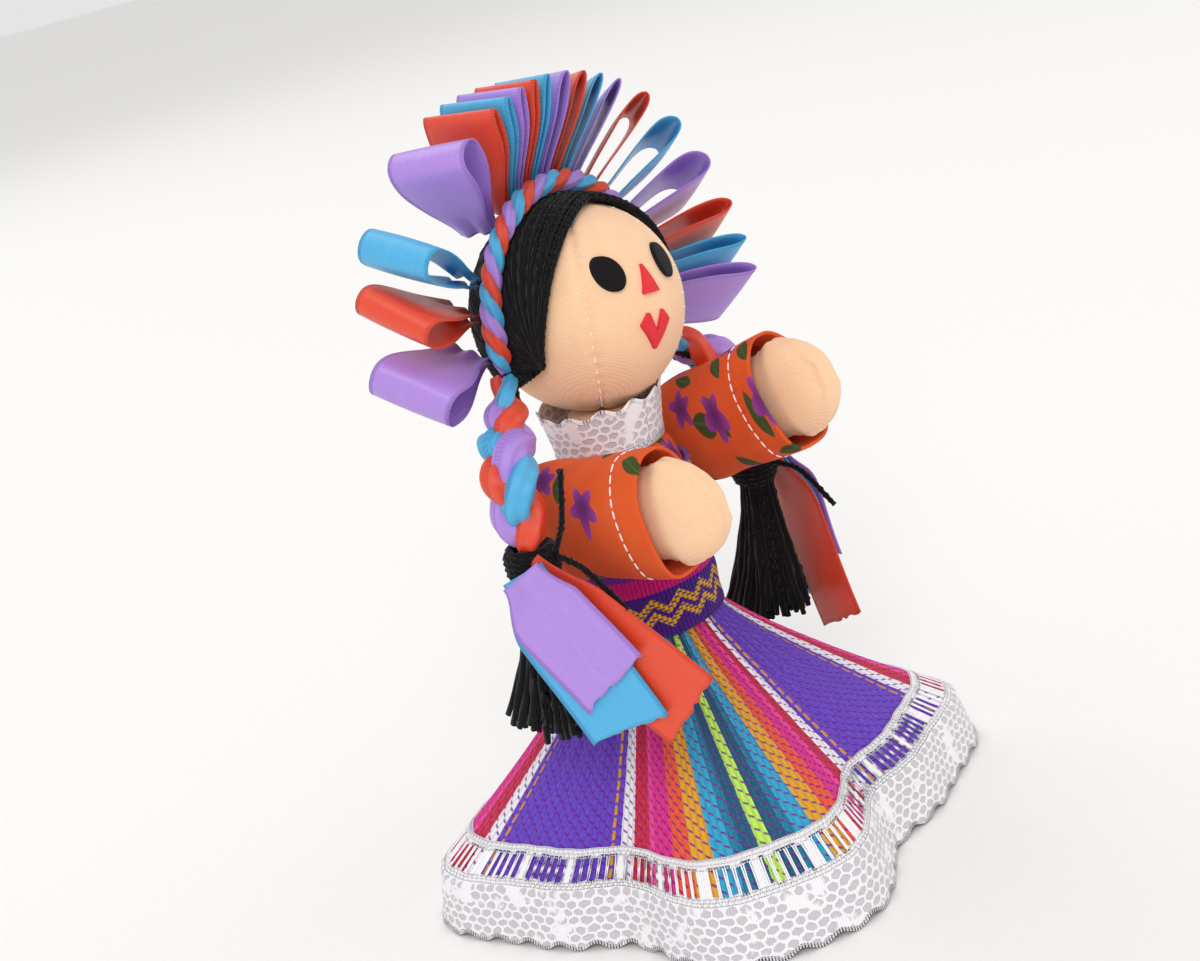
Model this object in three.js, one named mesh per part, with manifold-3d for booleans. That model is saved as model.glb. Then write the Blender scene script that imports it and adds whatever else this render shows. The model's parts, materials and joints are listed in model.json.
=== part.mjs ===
// A small sewn rag doll: stuffed cloth body, yarn hair, ribbon headdress and braids, woven skirt with lace.
// Millimetres, +Z up. The doll faces -Y, its right hand is on -X, and the skirt's hem stands on Z = 0.

import * as THREE from 'three';
import { mergeVertices } from 'three/addons/utils/BufferGeometryUtils.js';
import Module from 'manifold-3d';

const wasm = await Module();
wasm.setup();

// Cloth and seams
const SEAM_GAP = 0.3;
const COVER_CLOTH = 0.8;
const BLOUSE_CLOTH = 0.6;
const SASH_CLOTH = 0.8;
const SKIRT_CLOTH = 0.9;
const LACE_CLOTH = 0.5;
const RIBBON_CLOTH = 0.5;
const RIBBON_WIDTH = 15;

// Skirt and its lace hem
const SKIRT_DROP = 34;
const HEM_RADIUS = 44;
const SKIRT_FLARE = 1.15;
const FOLD_COUNT = 4;
const FOLD_DEPTH = 6;
const FOLD_CREST_ANGLE = 54;
const FOLD_START = 1.3;
const RIPPLE_COUNT = 10;
const RIPPLE_DEPTH = 1.2;
const LACE_DROP = 10;
const LACE_LAP = 6;
const LACE_FLARE = 0.25;

// Torso
const TORSO_BELOW_WAIST = 7;
const SEAT_WIDTH = 20;
const SEAT_DEPTH = 18;
const WAIST_WIDTH = 22;
const WAIST_DEPTH = 20;
const CHEST_WIDTH = 24;
const CHEST_DEPTH = 20;
const CHEST_RISE = 27;
const SHOULDER_SLOPE_WIDTH = 21.5;
const SHOULDER_SLOPE_DEPTH = 18;
const SHOULDER_SLOPE_RISE = 31.5;
const NECK_WIDTH = 12;
const NECK_BASE_RISE = 36;
const NECK_HEIGHT = 5;
const SASH_TOP_RISE = 28;
const COLLAR_RISE = 33.4;
const COLLAR_HEIGHT = 9.8;
const COLLAR_SPREAD = 1.6;

// Head and hair
const HEAD_WIDTH = 34;
const HEAD_DEPTH = 36.8;
const HEAD_HEIGHT = 36.4;
const HEAD_TILT = 7;
const NECK_OPENING_LATITUDE = -72;
const HAIR_THICKNESS = 1.7;
const HAIRLINE_WIDTH = 34;
const HAIRLINE_TOP = 16.6;
const HAIR_LENGTH_BELOW_CENTRE = 9;

// Face, measured from the middle of the face
const FELT_THICKNESS = 0.45;
const FELT_LIFT = 0.45;
const FACE_ACROSS = -2.5;
const EYE_WIDTH = 4.1;
const EYE_HEIGHT = 6.1;
const EYE_SPACING = 11.6;
const EYE_RISE = 6.6;
const NOSE_WIDTH = 3.4;
const NOSE_HEIGHT = 5;
const NOSE_TOP = 7.1;
const MOUTH_WIDTH = 6.2;
const MOUTH_TIP_SPACING = 3;
const MOUTH_TOP = -0.9;
const MOUTH_CORNER_DROP = 2;
const MOUTH_NOTCH_DROP = 3.9;
const MOUTH_HEIGHT = 6.7;

// Headdress
const CROWN_DIAMETER = 4.4;
const CROWN_FORWARD = -1.4;
const CROWN_END_ANGLE = -14;
const LOOP_ANGLES = [191, 170, 154, 126, 111, 105, 99.5, 94, 88.5, 80.5, 73, 66, 59, 49.5, 37.5, 24, 10, 0, -8];
const LOOP_SWIVELS = [-32, -26, -14, 12, 6, 3, 0, -4, -10, -18, -26, -32, -36, -36, -36, -36, -36, -36, -36];
const LOOP_REACH_RIGHT = 18;
const LOOP_REACH_LEFT = 23.6;
const LOOP_BULGE_MOST = 4.2;
const LOOP_STITCHED = 3;
const LOOP_BEHIND_CROWN = 3.1;
const LOOP_ROOT_SUNK = 0.6;
const LOOP_ROOT_WIDTH = 7;
const LOOP_OPENING_SHARE = 0.75;
const LOOP_LEAN_RIGHT = 4;
const LOOP_LEAN_LEFT = 28;
const LOOP_SPLAY = 12;
const TEARDROP_LEAN = 1;
const TEARDROP_ROUND = 10;

// Arms and sleeves
const ARM_LENGTH = 37.5;
const ARM_WIDTH = 10.8;
const ARM_HEIGHT = 18.4;
const WRIST_WIDTH = 10;
const WRIST_HEIGHT = 15.8;
const LIMB_SQUARENESS = 2.5;
const ARM_FORWARD = 2;
const SHOULDER_RISE = 28;
const ARM_PITCH_RIGHT = 5;
const ARM_PITCH_LEFT = 18;
const ARM_TURN_RIGHT = 0;
const ARM_TURN_LEFT = 6;
const LIMB_OPENING = 4;
const SLEEVE_CLOTH = 0.7;
const SLEEVE_EASE = 0.4;
const SLEEVE_LENGTH = 26.5;
const CUFF_FLARE = 0.6;
const ARMHOLE_GAP = 0.3;

// Legs
const LEG_SPACING = 12.4;
const THIGH_WIDTH = 10.4;
const ANKLE_WIDTH = 8;
const FOOT_LENGTH = 12;
const FOOT_HEIGHT = 5;
const SOLE_CLEARANCE = 1.2;

// Hanging braids
const BRAID_DIAMETER = 9.4;
const BRAID_TOP_DIAMETER = 4.8;
const BRAID_FORWARD_RIGHT = 9;
const BRAID_FORWARD_LEFT = 2;
const BRAID_DROP_RIGHT = 22;
const BRAID_DROP_LEFT = 29;
const BRAID_SLEEVE_GAP = 2.2;
const BRAID_SHOULDER_RISE_RIGHT = 41;
const BRAID_SHOULDER_RISE_LEFT = 34;
const TIE_DIAMETER = 10.4;
const TIE_HEIGHT = 7;
const TASSEL_LENGTH = 28;
const TASSEL_WIDTH = 9;
const TASSEL_SPREAD = 20;
const TASSEL_BACK = 5;
const TAIL_LAYER_GAP = 0.4;
const TAIL_TURN = 20;
const TAIL_FAN_SHARE_RIGHT = 1;
const TAIL_FAN_SHARE_LEFT = 0.4;
const ORANGE_TAIL_LENGTH = 36;
const ORANGE_TAIL_FAN = 40;
const BLUE_TAIL_LENGTH = 32;
const BLUE_TAIL_FAN = 22;
const LILAC_TAIL_LENGTH = 24;
const LILAC_TAIL_FAN = 30;

// Smoothness of the solids
const BODY_SIDES = 20;
const LIMB_SIDES = 12;
const TUBE_SIDES = 8;
const CLOTH_STEPS = 64;
const SKIRT_ROWS = 5;
const LATITUDE_STEP = 18;
const LOOP_OUTLINE_STEPS = 6;
const EYE_SIDES = 14;
const CROWN_STEPS = 20;
const HAIRLINE_SEGMENTS = 10;
const COLLAR_STEPS = 32;
const HAND_ANGLES = [72, 48, 24, 0];
const ROOT_ANGLES = [0, 35];

// Places that follow from the sizes
const hemZ = LACE_DROP;
const waistZ = hemZ + SKIRT_DROP;
const seatZ = waistZ - TORSO_BELOW_WAIST;
const neckTopZ = waistZ + NECK_BASE_RISE + NECK_HEIGHT;
const shoulderZ = waistZ + SHOULDER_RISE;
const dressedCloth = 2 * SEAM_GAP + BLOUSE_CLOTH + SASH_CLOTH;
const sleeveWall = SLEEVE_EASE + SLEEVE_CLOTH;
const armholeX = Math.max(WAIST_WIDTH, CHEST_WIDTH) / 2 + dressedCloth + ARMHOLE_GAP;
const armX = armholeX + ARM_WIDTH / 2 + sleeveWall;
const sleeveOuterX = armX + ARM_WIDTH / 2 + sleeveWall;
const braidX = sleeveOuterX + BRAID_SLEEVE_GAP + Math.max(BRAID_DIAMETER, TIE_DIAMETER) / 2;
const headRadii = new THREE.Vector3(HEAD_WIDTH / 2, HEAD_DEPTH / 2, HEAD_HEIGHT / 2);
const hairOffset = SEAM_GAP + HAIR_THICKNESS;
const radians = THREE.MathUtils.degToRad;
const headCentre = SEAM_GAP - headRadii.z * Math.sin(radians(NECK_OPENING_LATITUDE));

const SKIN = { color: '#f0b98c', roughness: 0.85 };
const STUFFING = { color: '#f4f1ea', roughness: 1 };
const YARN = { color: '#0d0c0e', roughness: 0.95 };
const PRINT = { color: '#cf4a1c', roughness: 0.85 };
const BROCADE = { color: '#8a2f8f', roughness: 0.8 };
const STRIPES = { color: '#6d3aa8', roughness: 0.9 };
const LACE = { color: '#f5f4f2', roughness: 0.9 };
const RED_FELT = { color: '#c9161d', roughness: 0.9 };
const RIBBONS = {
  lilac: { color: '#a77fd8', roughness: 0.35 },
  orange: { color: '#dc4312', roughness: 0.35 },
  blue: { color: '#2a9ed6', roughness: 0.35 },
};
const RIBBON_ORDER = ['lilac', 'orange', 'blue'];

// Makes a closed surface from points and triangles, with its faces turned outwards.
function solidFrom(points, triangles) {
  let volume = 0;
  for (let i = 0; i < triangles.length; i += 3) {
    const [a, b, c] = [points[triangles[i]], points[triangles[i + 1]], points[triangles[i + 2]]];
    volume += a.dot(b.clone().cross(c));
  }
  const outward = volume > 0 ? triangles : [...triangles].reverse();
  const geometry = new THREE.BufferGeometry().setFromPoints(points);
  geometry.setIndex(outward);
  return geometry;
}

// Joins rings of equal count. With end points it closes on them, and without them on its first ring.
function loft(rings, startPoint, endPoint) {
  const sides = rings[0].length;
  const points = rings.flat();
  const triangles = [];
  const strips = startPoint ? rings.length - 1 : rings.length;
  for (let row = 0; row < strips; row += 1) {
    const low = row * sides;
    const high = ((row + 1) % rings.length) * sides;
    for (let i = 0; i < sides; i += 1) {
      const next = (i + 1) % sides;
      triangles.push(low + i, low + next, high + next, low + i, high + next, high + i);
    }
  }
  if (startPoint) {
    const last = (rings.length - 1) * sides;
    const start = points.push(startPoint) - 1;
    const end = points.push(endPoint) - 1;
    for (let i = 0; i < sides; i += 1) {
      const next = (i + 1) % sides;
      triangles.push(start, next, i, end, last + i, last + next);
    }
  }
  return solidFrom(points, triangles);
}

// A ring of points round the upright axis. The angle starts at the front and goes to the doll's left.
// A squareness of 2 is an ellipse, and a higher one has flatter sides.
function ring(sides, radiusX, radiusY, heightAt, centreY = 0, squareness = 2) {
  const swell = (value) => Math.sign(value) * Math.abs(value) ** (2 / squareness);
  return Array.from({ length: sides }, (_, i) => {
    const angle = (2 * Math.PI * i) / sides;
    const x = radiusX * swell(Math.sin(angle));
    return new THREE.Vector3(x, centreY - radiusY * swell(Math.cos(angle)), heightAt(x));
  });
}

function centreOf(points) {
  const sum = points.reduce((total, point) => total.add(point), new THREE.Vector3());
  return sum.divideScalar(points.length);
}

// A filled solid through rings, flat at both ends.
function solidLoft(rings) {
  return loft(rings, centreOf(rings[0]), centreOf(rings.at(-1)));
}

// A wall open at both ends, from its outer rings and its inner rings.
function openWall(outer, inner) {
  return loft([...outer, ...[...inner].reverse()]);
}

// A cover with one opening at its last ring, closed at the other end by a face outside and one inside.
function cover(outer, inner) {
  const rings = [...outer, ...[...inner].reverse()];
  return loft(rings, centreOf(outer[0]), centreOf(inner[0]));
}

function piece(group, name, geometry, finish) {
  const material = new THREE.MeshStandardMaterial({ metalness: 0, ...finish });
  const mesh = new THREE.Mesh(geometry, material);
  mesh.name = name;
  group.add(mesh);
  return mesh;
}

function toSolid(geometry) {
  const bare = geometry.clone();
  bare.deleteAttribute('normal');
  bare.deleteAttribute('uv');
  const merged = mergeVertices(bare);
  const vertProperties = new Float32Array(merged.attributes.position.array);
  const triVerts = new Uint32Array(merged.index.array);
  return new wasm.Manifold(new wasm.Mesh({ numProp: 3, vertProperties, triVerts }));
}

function toGeometry(solid) {
  const mesh = solid.getMesh();
  const geometry = new THREE.BufferGeometry();
  geometry.setAttribute('position', new THREE.BufferAttribute(mesh.vertProperties, mesh.numProp));
  geometry.setIndex(new THREE.BufferAttribute(mesh.triVerts, 1));
  return geometry;
}

const doll = new THREE.Group();

// Torso: a cover open at the neck, its stuffing, the blouse body, the sash and the collar

const torsoStations = [
  { z: seatZ, width: SEAT_WIDTH, depth: SEAT_DEPTH },
  { z: waistZ, width: WAIST_WIDTH, depth: WAIST_DEPTH },
  { z: waistZ + CHEST_RISE, width: CHEST_WIDTH, depth: CHEST_DEPTH },
  { z: waistZ + SHOULDER_SLOPE_RISE, width: SHOULDER_SLOPE_WIDTH, depth: SHOULDER_SLOPE_DEPTH },
  { z: waistZ + NECK_BASE_RISE, width: NECK_WIDTH, depth: NECK_WIDTH },
  { z: neckTopZ, width: NECK_WIDTH, depth: NECK_WIDTH },
];

// The torso's half width and half depth at a height, between its stations.
function torsoAt(z) {
  const above = torsoStations.findIndex((station) => station.z >= z);
  const upper = torsoStations[Math.max(above, 1)];
  const lower = torsoStations[Math.max(above, 1) - 1];
  const share = (z - lower.z) / (upper.z - lower.z);
  return {
    halfWidth: THREE.MathUtils.lerp(lower.width, upper.width, share) / 2,
    halfDepth: THREE.MathUtils.lerp(lower.depth, upper.depth, share) / 2,
  };
}

// A ring on the torso, moved out by an offset. The neck's top ring slopes with the tilt of the head.
function torsoRing(z, offset, slope = 0) {
  const { halfWidth, halfDepth } = torsoAt(z);
  const heightAt = (x) => z - x * Math.tan(radians(slope));
  return ring(BODY_SIDES, halfWidth + offset, halfDepth + offset, heightAt);
}

function torsoRings(offset, floorLift) {
  return torsoStations.map(({ z }, i) => {
    const slope = i === torsoStations.length - 1 ? HEAD_TILT : 0;
    const lifted = i === 0 ? z + floorLift : z;
    return torsoRing(lifted, offset, slope);
  });
}

function bodiceWall(heights, offset, thickness) {
  const outer = heights.map((z) => torsoRing(z, offset + thickness));
  const inner = heights.map((z) => torsoRing(z, offset));
  return openWall(outer, inner);
}

const bodiceBottom = waistZ + SEAM_GAP;
const chestZ = waistZ + CHEST_RISE;
const slopeZ = waistZ + SHOULDER_SLOPE_RISE;
const blouseTop = waistZ + NECK_BASE_RISE - BLOUSE_CLOTH;
const sashTop = waistZ + SASH_TOP_RISE;
const blouseHeights = [bodiceBottom, chestZ, slopeZ, blouseTop];
const sashHeights = [bodiceBottom, chestZ, sashTop];
const stuffingInset = COVER_CLOTH + SEAM_GAP;

piece(doll, 'torso', cover(torsoRings(0, 0), torsoRings(-COVER_CLOTH, COVER_CLOTH)), SKIN);
piece(doll, 'torso_stuffing', solidLoft(torsoRings(-stuffingInset, stuffingInset)), STUFFING);
piece(doll, 'blouse', bodiceWall(blouseHeights, SEAM_GAP, BLOUSE_CLOTH), PRINT);
piece(doll, 'sash', bodiceWall(sashHeights, 2 * SEAM_GAP + BLOUSE_CLOTH, SASH_CLOTH), BROCADE);

function collarRings(extra) {
  const bottom = waistZ + COLLAR_RISE;
  const { halfWidth, halfDepth } = torsoAt(bottom);
  const rest = 2 * SEAM_GAP + BLOUSE_CLOTH + extra;
  const top = bottom + COLLAR_HEIGHT;
  return [
    ring(COLLAR_STEPS, halfWidth + rest, halfDepth + rest, () => bottom),
    ring(COLLAR_STEPS, halfWidth + rest + COLLAR_SPREAD, halfDepth + rest + COLLAR_SPREAD, () => top),
  ];
}

piece(doll, 'collar_lace', openWall(collarRings(LACE_CLOTH), collarRings(0)), LACE);

// Skirt: gathered at the waist, with its main folds growing towards the hem, and the lace sewn over the hem

function skirtRadius(angle, z) {
  const { halfWidth, halfDepth } = torsoAt(waistZ);
  const fit = SEAM_GAP + SKIRT_CLOTH;
  const waist = Math.hypot((halfWidth + fit) * Math.sin(angle), (halfDepth + fit) * Math.cos(angle));
  const share = (waistZ - z) / SKIRT_DROP;
  const flare = share <= 1 ? share ** SKIRT_FLARE : 1 + (share - 1) * LACE_FLARE;
  const crest = angle - radians(FOLD_CREST_ANGLE);
  const folds = FOLD_DEPTH * Math.cos(FOLD_COUNT * crest) + RIPPLE_DEPTH * Math.cos(RIPPLE_COUNT * crest);
  return waist + (HEM_RADIUS - waist) * flare + folds * Math.min(share, 1) ** FOLD_START;
}

function skirtRing(z, offset) {
  return Array.from({ length: CLOTH_STEPS }, (_, i) => {
    const angle = (2 * Math.PI * i) / CLOTH_STEPS;
    const radius = skirtRadius(angle, z) + offset;
    return new THREE.Vector3(radius * Math.sin(angle), -radius * Math.cos(angle), z);
  });
}

function clothWall(heights, offset, thickness) {
  const outer = heights.map((z) => skirtRing(z, offset + thickness));
  const inner = heights.map((z) => skirtRing(z, offset));
  return openWall(outer, inner);
}

const skirtRow = SKIRT_DROP / SKIRT_ROWS;
const skirtHeights = Array.from({ length: SKIRT_ROWS + 1 }, (_, row) => waistZ - skirtRow * row);
const laceTop = hemZ + LACE_LAP;
const laceHeights = [laceTop, ...skirtHeights.filter((z) => z < laceTop), 0];

piece(doll, 'skirt', clothWall(skirtHeights, -SKIRT_CLOTH, SKIRT_CLOTH), STRIPES);
piece(doll, 'skirt_lace', clothWall(laceHeights, SEAM_GAP, LACE_CLOTH), LACE);

// Limbs: a stuffed cover that swells and tapers along local +Z, with a small opening at its root

function limbRings(stations, inset) {
  const towardsRoot = Math.sign(stations.at(-1).along - stations[0].along);
  return stations.map(({ along, width, depth, forward = 0 }, i) => {
    const height = i === 0 ? along + towardsRoot * inset : along;
    return ring(LIMB_SIDES, width / 2 - inset, depth / 2 - inset, () => height, -forward, LIMB_SQUARENESS);
  });
}

// Stations run from the closed tip to the opening at the root, where the walls end at the same height.
function stuffedLimb(group, name, stations) {
  const skin = cover(limbRings(stations, 0), limbRings(stations, COVER_CLOTH));
  piece(group, name, skin, SKIN);
  piece(group, `${name}_stuffing`, solidLoft(limbRings(stations, stuffingInset)), STUFFING);
}

// A round end of a limb about its pivot: the stations of a quarter circle, from the middle outwards.
function roundEnd(width, depth, reach, angles, side) {
  return angles.map((angle) => ({
    along: side * reach * Math.sin(radians(angle)),
    width: width * Math.cos(radians(angle)),
    depth: depth * Math.cos(radians(angle)),
  }));
}

function openingAngle(reach) {
  return THREE.MathUtils.radToDeg(Math.acos(LIMB_OPENING / (2 * reach)));
}

// Each arm points forward from the shoulder. Local Z runs along the arm and local Y up or down through it.

const armRoot = ARM_HEIGHT / 2;
const handRound = ARM_HEIGHT / 2;

function armStations() {
  const tip = roundEnd(ARM_WIDTH, ARM_HEIGHT, handRound, HAND_ANGLES, 1).map((station) => ({
    ...station,
    along: station.along + ARM_LENGTH - handRound,
  }));
  const wrist = { along: SLEEVE_LENGTH - CUFF_FLARE, width: WRIST_WIDTH, depth: WRIST_HEIGHT };
  const root = roundEnd(ARM_WIDTH, ARM_HEIGHT, armRoot, [...ROOT_ANGLES, openingAngle(armRoot)], -1);
  return [...tip, wrist, ...root];
}

function sleeveRings(ease) {
  const root = roundEnd(ARM_WIDTH, ARM_HEIGHT, armRoot, ROOT_ANGLES, -1).reverse();
  const grown = ({ along, width, depth }, flare = 0, shift = 0) => {
    const halfWidth = width / 2 + ease + flare;
    const halfDepth = depth / 2 + ease + flare;
    return ring(LIMB_SIDES, halfWidth, halfDepth, () => along + shift, 0, LIMB_SQUARENESS);
  };
  const closed = roundEnd(ARM_WIDTH, ARM_HEIGHT, armRoot, [openingAngle(armRoot)], -1)[0];
  const cuff = { along: SLEEVE_LENGTH, width: ARM_WIDTH, depth: ARM_HEIGHT };
  return [grown(closed, 0, -ease), ...root.map((station) => grown(station)), grown(cuff, CUFF_FLARE)];
}

function arm(side, sign, pitch, turn) {
  const group = new THREE.Group();
  group.position.set(sign * armX, -ARM_FORWARD, shoulderZ);
  group.rotation.set(Math.PI / 2 - radians(pitch), 0, -sign * radians(turn), 'ZXY');
  stuffedLimb(group, `arm_${side}`, armStations());
  piece(group, `sleeve_${side}`, cover(sleeveRings(sleeveWall), sleeveRings(SLEEVE_EASE)), PRINT);
  doll.add(group);
}

arm('right', -1, ARM_PITCH_RIGHT, ARM_TURN_RIGHT);
arm('left', 1, ARM_PITCH_LEFT, ARM_TURN_LEFT);

// Legs hang from the seat inside the skirt, each round at its top about the hip.

const hipZ = seatZ - SEAM_GAP - THIGH_WIDTH / 2;
const soleZ = SOLE_CLEARANCE - hipZ;

function legStations() {
  const toe = (FOOT_LENGTH - ANKLE_WIDTH) / 2;
  const hipRound = THIGH_WIDTH / 2;
  const root = roundEnd(THIGH_WIDTH, THIGH_WIDTH, hipRound, [...ROOT_ANGLES, openingAngle(hipRound)], 1);
  return [
    { along: soleZ, width: ANKLE_WIDTH, depth: FOOT_LENGTH, forward: toe },
    { along: soleZ + FOOT_HEIGHT / 2, width: ANKLE_WIDTH, depth: FOOT_LENGTH, forward: toe },
    { along: soleZ + FOOT_HEIGHT, width: ANKLE_WIDTH, depth: ANKLE_WIDTH },
    ...root,
  ];
}

function leg(side, sign) {
  const group = new THREE.Group();
  group.position.set((sign * LEG_SPACING) / 2, 0, hipZ);
  stuffedLimb(group, `leg_${side}`, legStations());
  doll.add(group);
}

leg('right', -1);
leg('left', 1);

// Head: everything on it is placed from the top of the neck, and leans with it

const head = new THREE.Group();
head.position.z = neckTopZ;
head.rotation.y = radians(HEAD_TILT);
doll.add(head);

function latitudeRing(latitude, offset) {
  const flat = Math.cos(radians(latitude));
  const z = headCentre + (headRadii.z + offset) * Math.sin(radians(latitude));
  return ring(BODY_SIDES, (headRadii.x + offset) * flat, (headRadii.y + offset) * flat, () => z);
}

const headLatitudes = [];
for (let latitude = NECK_OPENING_LATITUDE; latitude < 90; latitude += LATITUDE_STEP) {
  headLatitudes.unshift(latitude);
}

// A ball of the head's shape, moved out by an offset, from its top down to its lowest ring.
function headRings(offset) {
  return headLatitudes.map((latitude) => latitudeRing(latitude, offset));
}

function headPole(offset) {
  return new THREE.Vector3(0, 0, headCentre + headRadii.z + offset);
}

const headCoverRings = [...headRings(0), ...headRings(-COVER_CLOTH).reverse()];
piece(head, 'head', loft(headCoverRings, headPole(0), headPole(-COVER_CLOTH)), SKIN);
const packed = headRings(-stuffingInset);
piece(head, 'head_stuffing', loft(packed, headPole(-stuffingInset), centreOf(packed.at(-1))), STUFFING);

function hairBall(offset) {
  const rings = headRings(offset);
  return toSolid(loft(rings, headPole(offset), centreOf(rings.at(-1))));
}

// The face shows through an oval opening in front, and the hair ends above the collar.
function hairShell() {
  const oval = new THREE.Shape();
  const bottom = -HEAD_HEIGHT;
  const middle = (HAIRLINE_TOP + bottom) / 2;
  oval.absellipse(0, middle, HAIRLINE_WIDTH / 2, HAIRLINE_TOP - middle, 0, 2 * Math.PI);
  const cut = { depth: HEAD_DEPTH, bevelEnabled: false, curveSegments: HAIRLINE_SEGMENTS };
  const opening = new THREE.ExtrudeGeometry(oval, cut);
  opening.rotateX(Math.PI / 2);
  opening.translate(0, 0, headCentre);
  const below = new THREE.BoxGeometry(2 * HEAD_WIDTH, 2 * HEAD_DEPTH, HEAD_HEIGHT);
  below.translate(0, 0, headCentre - HAIR_LENGTH_BELOW_CENTRE - HEAD_HEIGHT / 2);
  const shell = hairBall(hairOffset).subtract(hairBall(SEAM_GAP));
  return toGeometry(shell.subtract(toSolid(opening)).subtract(toSolid(below)));
}

piece(head, 'hair', hairShell(), YARN);

// A point on the face at a distance across and up from its middle.
function onFace(across, up, offset) {
  const wide = across / (headRadii.x + offset);
  const high = up / (headRadii.z + offset);
  const y = -(headRadii.y + offset) * Math.sqrt(1 - wide ** 2 - high ** 2);
  return new THREE.Vector3(across, y, headCentre + up);
}

// A thin cut shape lying on the face, from its outline.
function facePatch(outline) {
  const count = outline.length;
  const levels = [FELT_LIFT + FELT_THICKNESS, FELT_LIFT];
  const points = levels.flatMap((offset) => outline.map(({ x, y }) => onFace(FACE_ACROSS + x, y, offset)));
  const triangles = [];
  for (const [a, b, c] of THREE.ShapeUtils.triangulateShape(outline, [])) {
    triangles.push(a, b, c, count + c, count + b, count + a);
  }
  for (let i = 0; i < count; i += 1) {
    const next = (i + 1) % count;
    triangles.push(next, i, count + i, next, count + i, count + next);
  }
  return solidFrom(points, triangles);
}

function eyeOutline(sign) {
  return Array.from({ length: EYE_SIDES }, (_, i) => {
    const angle = (2 * Math.PI * i) / EYE_SIDES;
    const x = (sign * EYE_SPACING) / 2 + (EYE_WIDTH / 2) * Math.cos(angle);
    return new THREE.Vector2(x, EYE_RISE + (EYE_HEIGHT / 2) * Math.sin(angle));
  });
}

const noseOutline = [
  new THREE.Vector2(-NOSE_WIDTH / 2, NOSE_TOP - NOSE_HEIGHT),
  new THREE.Vector2(NOSE_WIDTH / 2, NOSE_TOP - NOSE_HEIGHT),
  new THREE.Vector2(0, NOSE_TOP),
];
const mouthOutline = [
  new THREE.Vector2(0, MOUTH_TOP - MOUTH_HEIGHT),
  new THREE.Vector2(MOUTH_WIDTH / 2, MOUTH_TOP - MOUTH_CORNER_DROP),
  new THREE.Vector2(MOUTH_TIP_SPACING / 2, MOUTH_TOP),
  new THREE.Vector2(0, MOUTH_TOP - MOUTH_NOTCH_DROP),
  new THREE.Vector2(-MOUTH_TIP_SPACING / 2, MOUTH_TOP),
  new THREE.Vector2(-MOUTH_WIDTH / 2, MOUTH_TOP - MOUTH_CORNER_DROP),
];

piece(head, 'eye_right', facePatch(eyeOutline(-1)), YARN);
piece(head, 'eye_left', facePatch(eyeOutline(1)), YARN);
piece(head, 'nose', facePatch(noseOutline), RED_FELT);
piece(head, 'mouth', facePatch(mouthOutline), RED_FELT);

// Crown braid: a rope of ribbon over the hair from ear to ear

const crownLift = SEAM_GAP + CROWN_DIAMETER / 2;

function outward(angle) {
  return new THREE.Vector3(Math.cos(radians(angle)), 0, Math.sin(radians(angle)));
}

// A point round the head from ear to ear, at a distance above the hair.
function overHair(angle, lift) {
  const reach = hairOffset + lift;
  const way = outward(angle);
  return new THREE.Vector3((headRadii.x + reach) * way.x, 0, headCentre + (headRadii.z + reach) * way.z);
}

// A ring of a tube that lies in an upright plane: its centre, its in-plane normal and its two half widths.
function tubeRing(centre, normal, halfAcross, halfDepth) {
  return Array.from({ length: TUBE_SIDES }, (_, i) => {
    const angle = (2 * Math.PI * i) / TUBE_SIDES;
    const point = centre.clone().addScaledVector(normal, halfAcross * Math.cos(angle));
    point.y += halfDepth * Math.sin(angle);
    return point;
  });
}

const crownRings = Array.from({ length: CROWN_STEPS + 1 }, (_, i) => {
  const angle = THREE.MathUtils.lerp(180 - CROWN_END_ANGLE, CROWN_END_ANGLE, i / CROWN_STEPS);
  const centre = overHair(angle, crownLift).setY(-CROWN_FORWARD);
  return tubeRing(centre, outward(angle), CROWN_DIAMETER / 2, CROWN_DIAMETER / 2);
});
piece(head, 'crown_braid', solidLoft(crownRings), RIBBONS.lilac);

// Ribbon loops: teardrops that stand out behind the crown braid and lean over it, crowded at the top

const teardrop = (share) => share ** TEARDROP_LEAN * Math.sqrt(1 - share ** TEARDROP_ROUND);
const teardropWidest = (TEARDROP_LEAN / (TEARDROP_LEAN + TEARDROP_ROUND / 2)) ** (1 / TEARDROP_ROUND);
const teardropPeak = teardrop(teardropWidest);
const loopRootRadius = headRadii.x + hairOffset + SEAM_GAP - LOOP_ROOT_SUNK;

// The place of a loop in the row: 1 at the doll's right ear, 0 at the top and -1 at its left ear.
function loopShare(index) {
  return 1 - (2 * index) / (LOOP_ANGLES.length - 1);
}

// The turn of a loop about its own length
function loopSwivel(index) {
  return radians(LOOP_SWIVELS[index]);
}

function loopReach(index) {
  return THREE.MathUtils.lerp(LOOP_REACH_LEFT, LOOP_REACH_RIGHT, (1 + loopShare(index)) / 2);
}

// The loop's outline from its root to its tip and back, as half thicknesses on both sides.
function loopOutline(start, end, bulge, rootHalf) {
  const oneSide = Array.from({ length: LOOP_OUTLINE_STEPS }, (_, i) => {
    const share = Math.sin((Math.PI * i) / (2 * LOOP_OUTLINE_STEPS));
    const half = rootHalf * (1 - share) + (bulge * teardrop(share)) / teardropPeak;
    return new THREE.Vector2(start + (end - start) * share, -half);
  });
  const otherSide = oneSide.map(({ x, y }) => new THREE.Vector2(x, -y)).reverse();
  const outline = [...oneSide, new THREE.Vector2(end, 0), ...otherSide];
  return rootHalf > 0 ? outline : outline.slice(0, -1);
}

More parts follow.
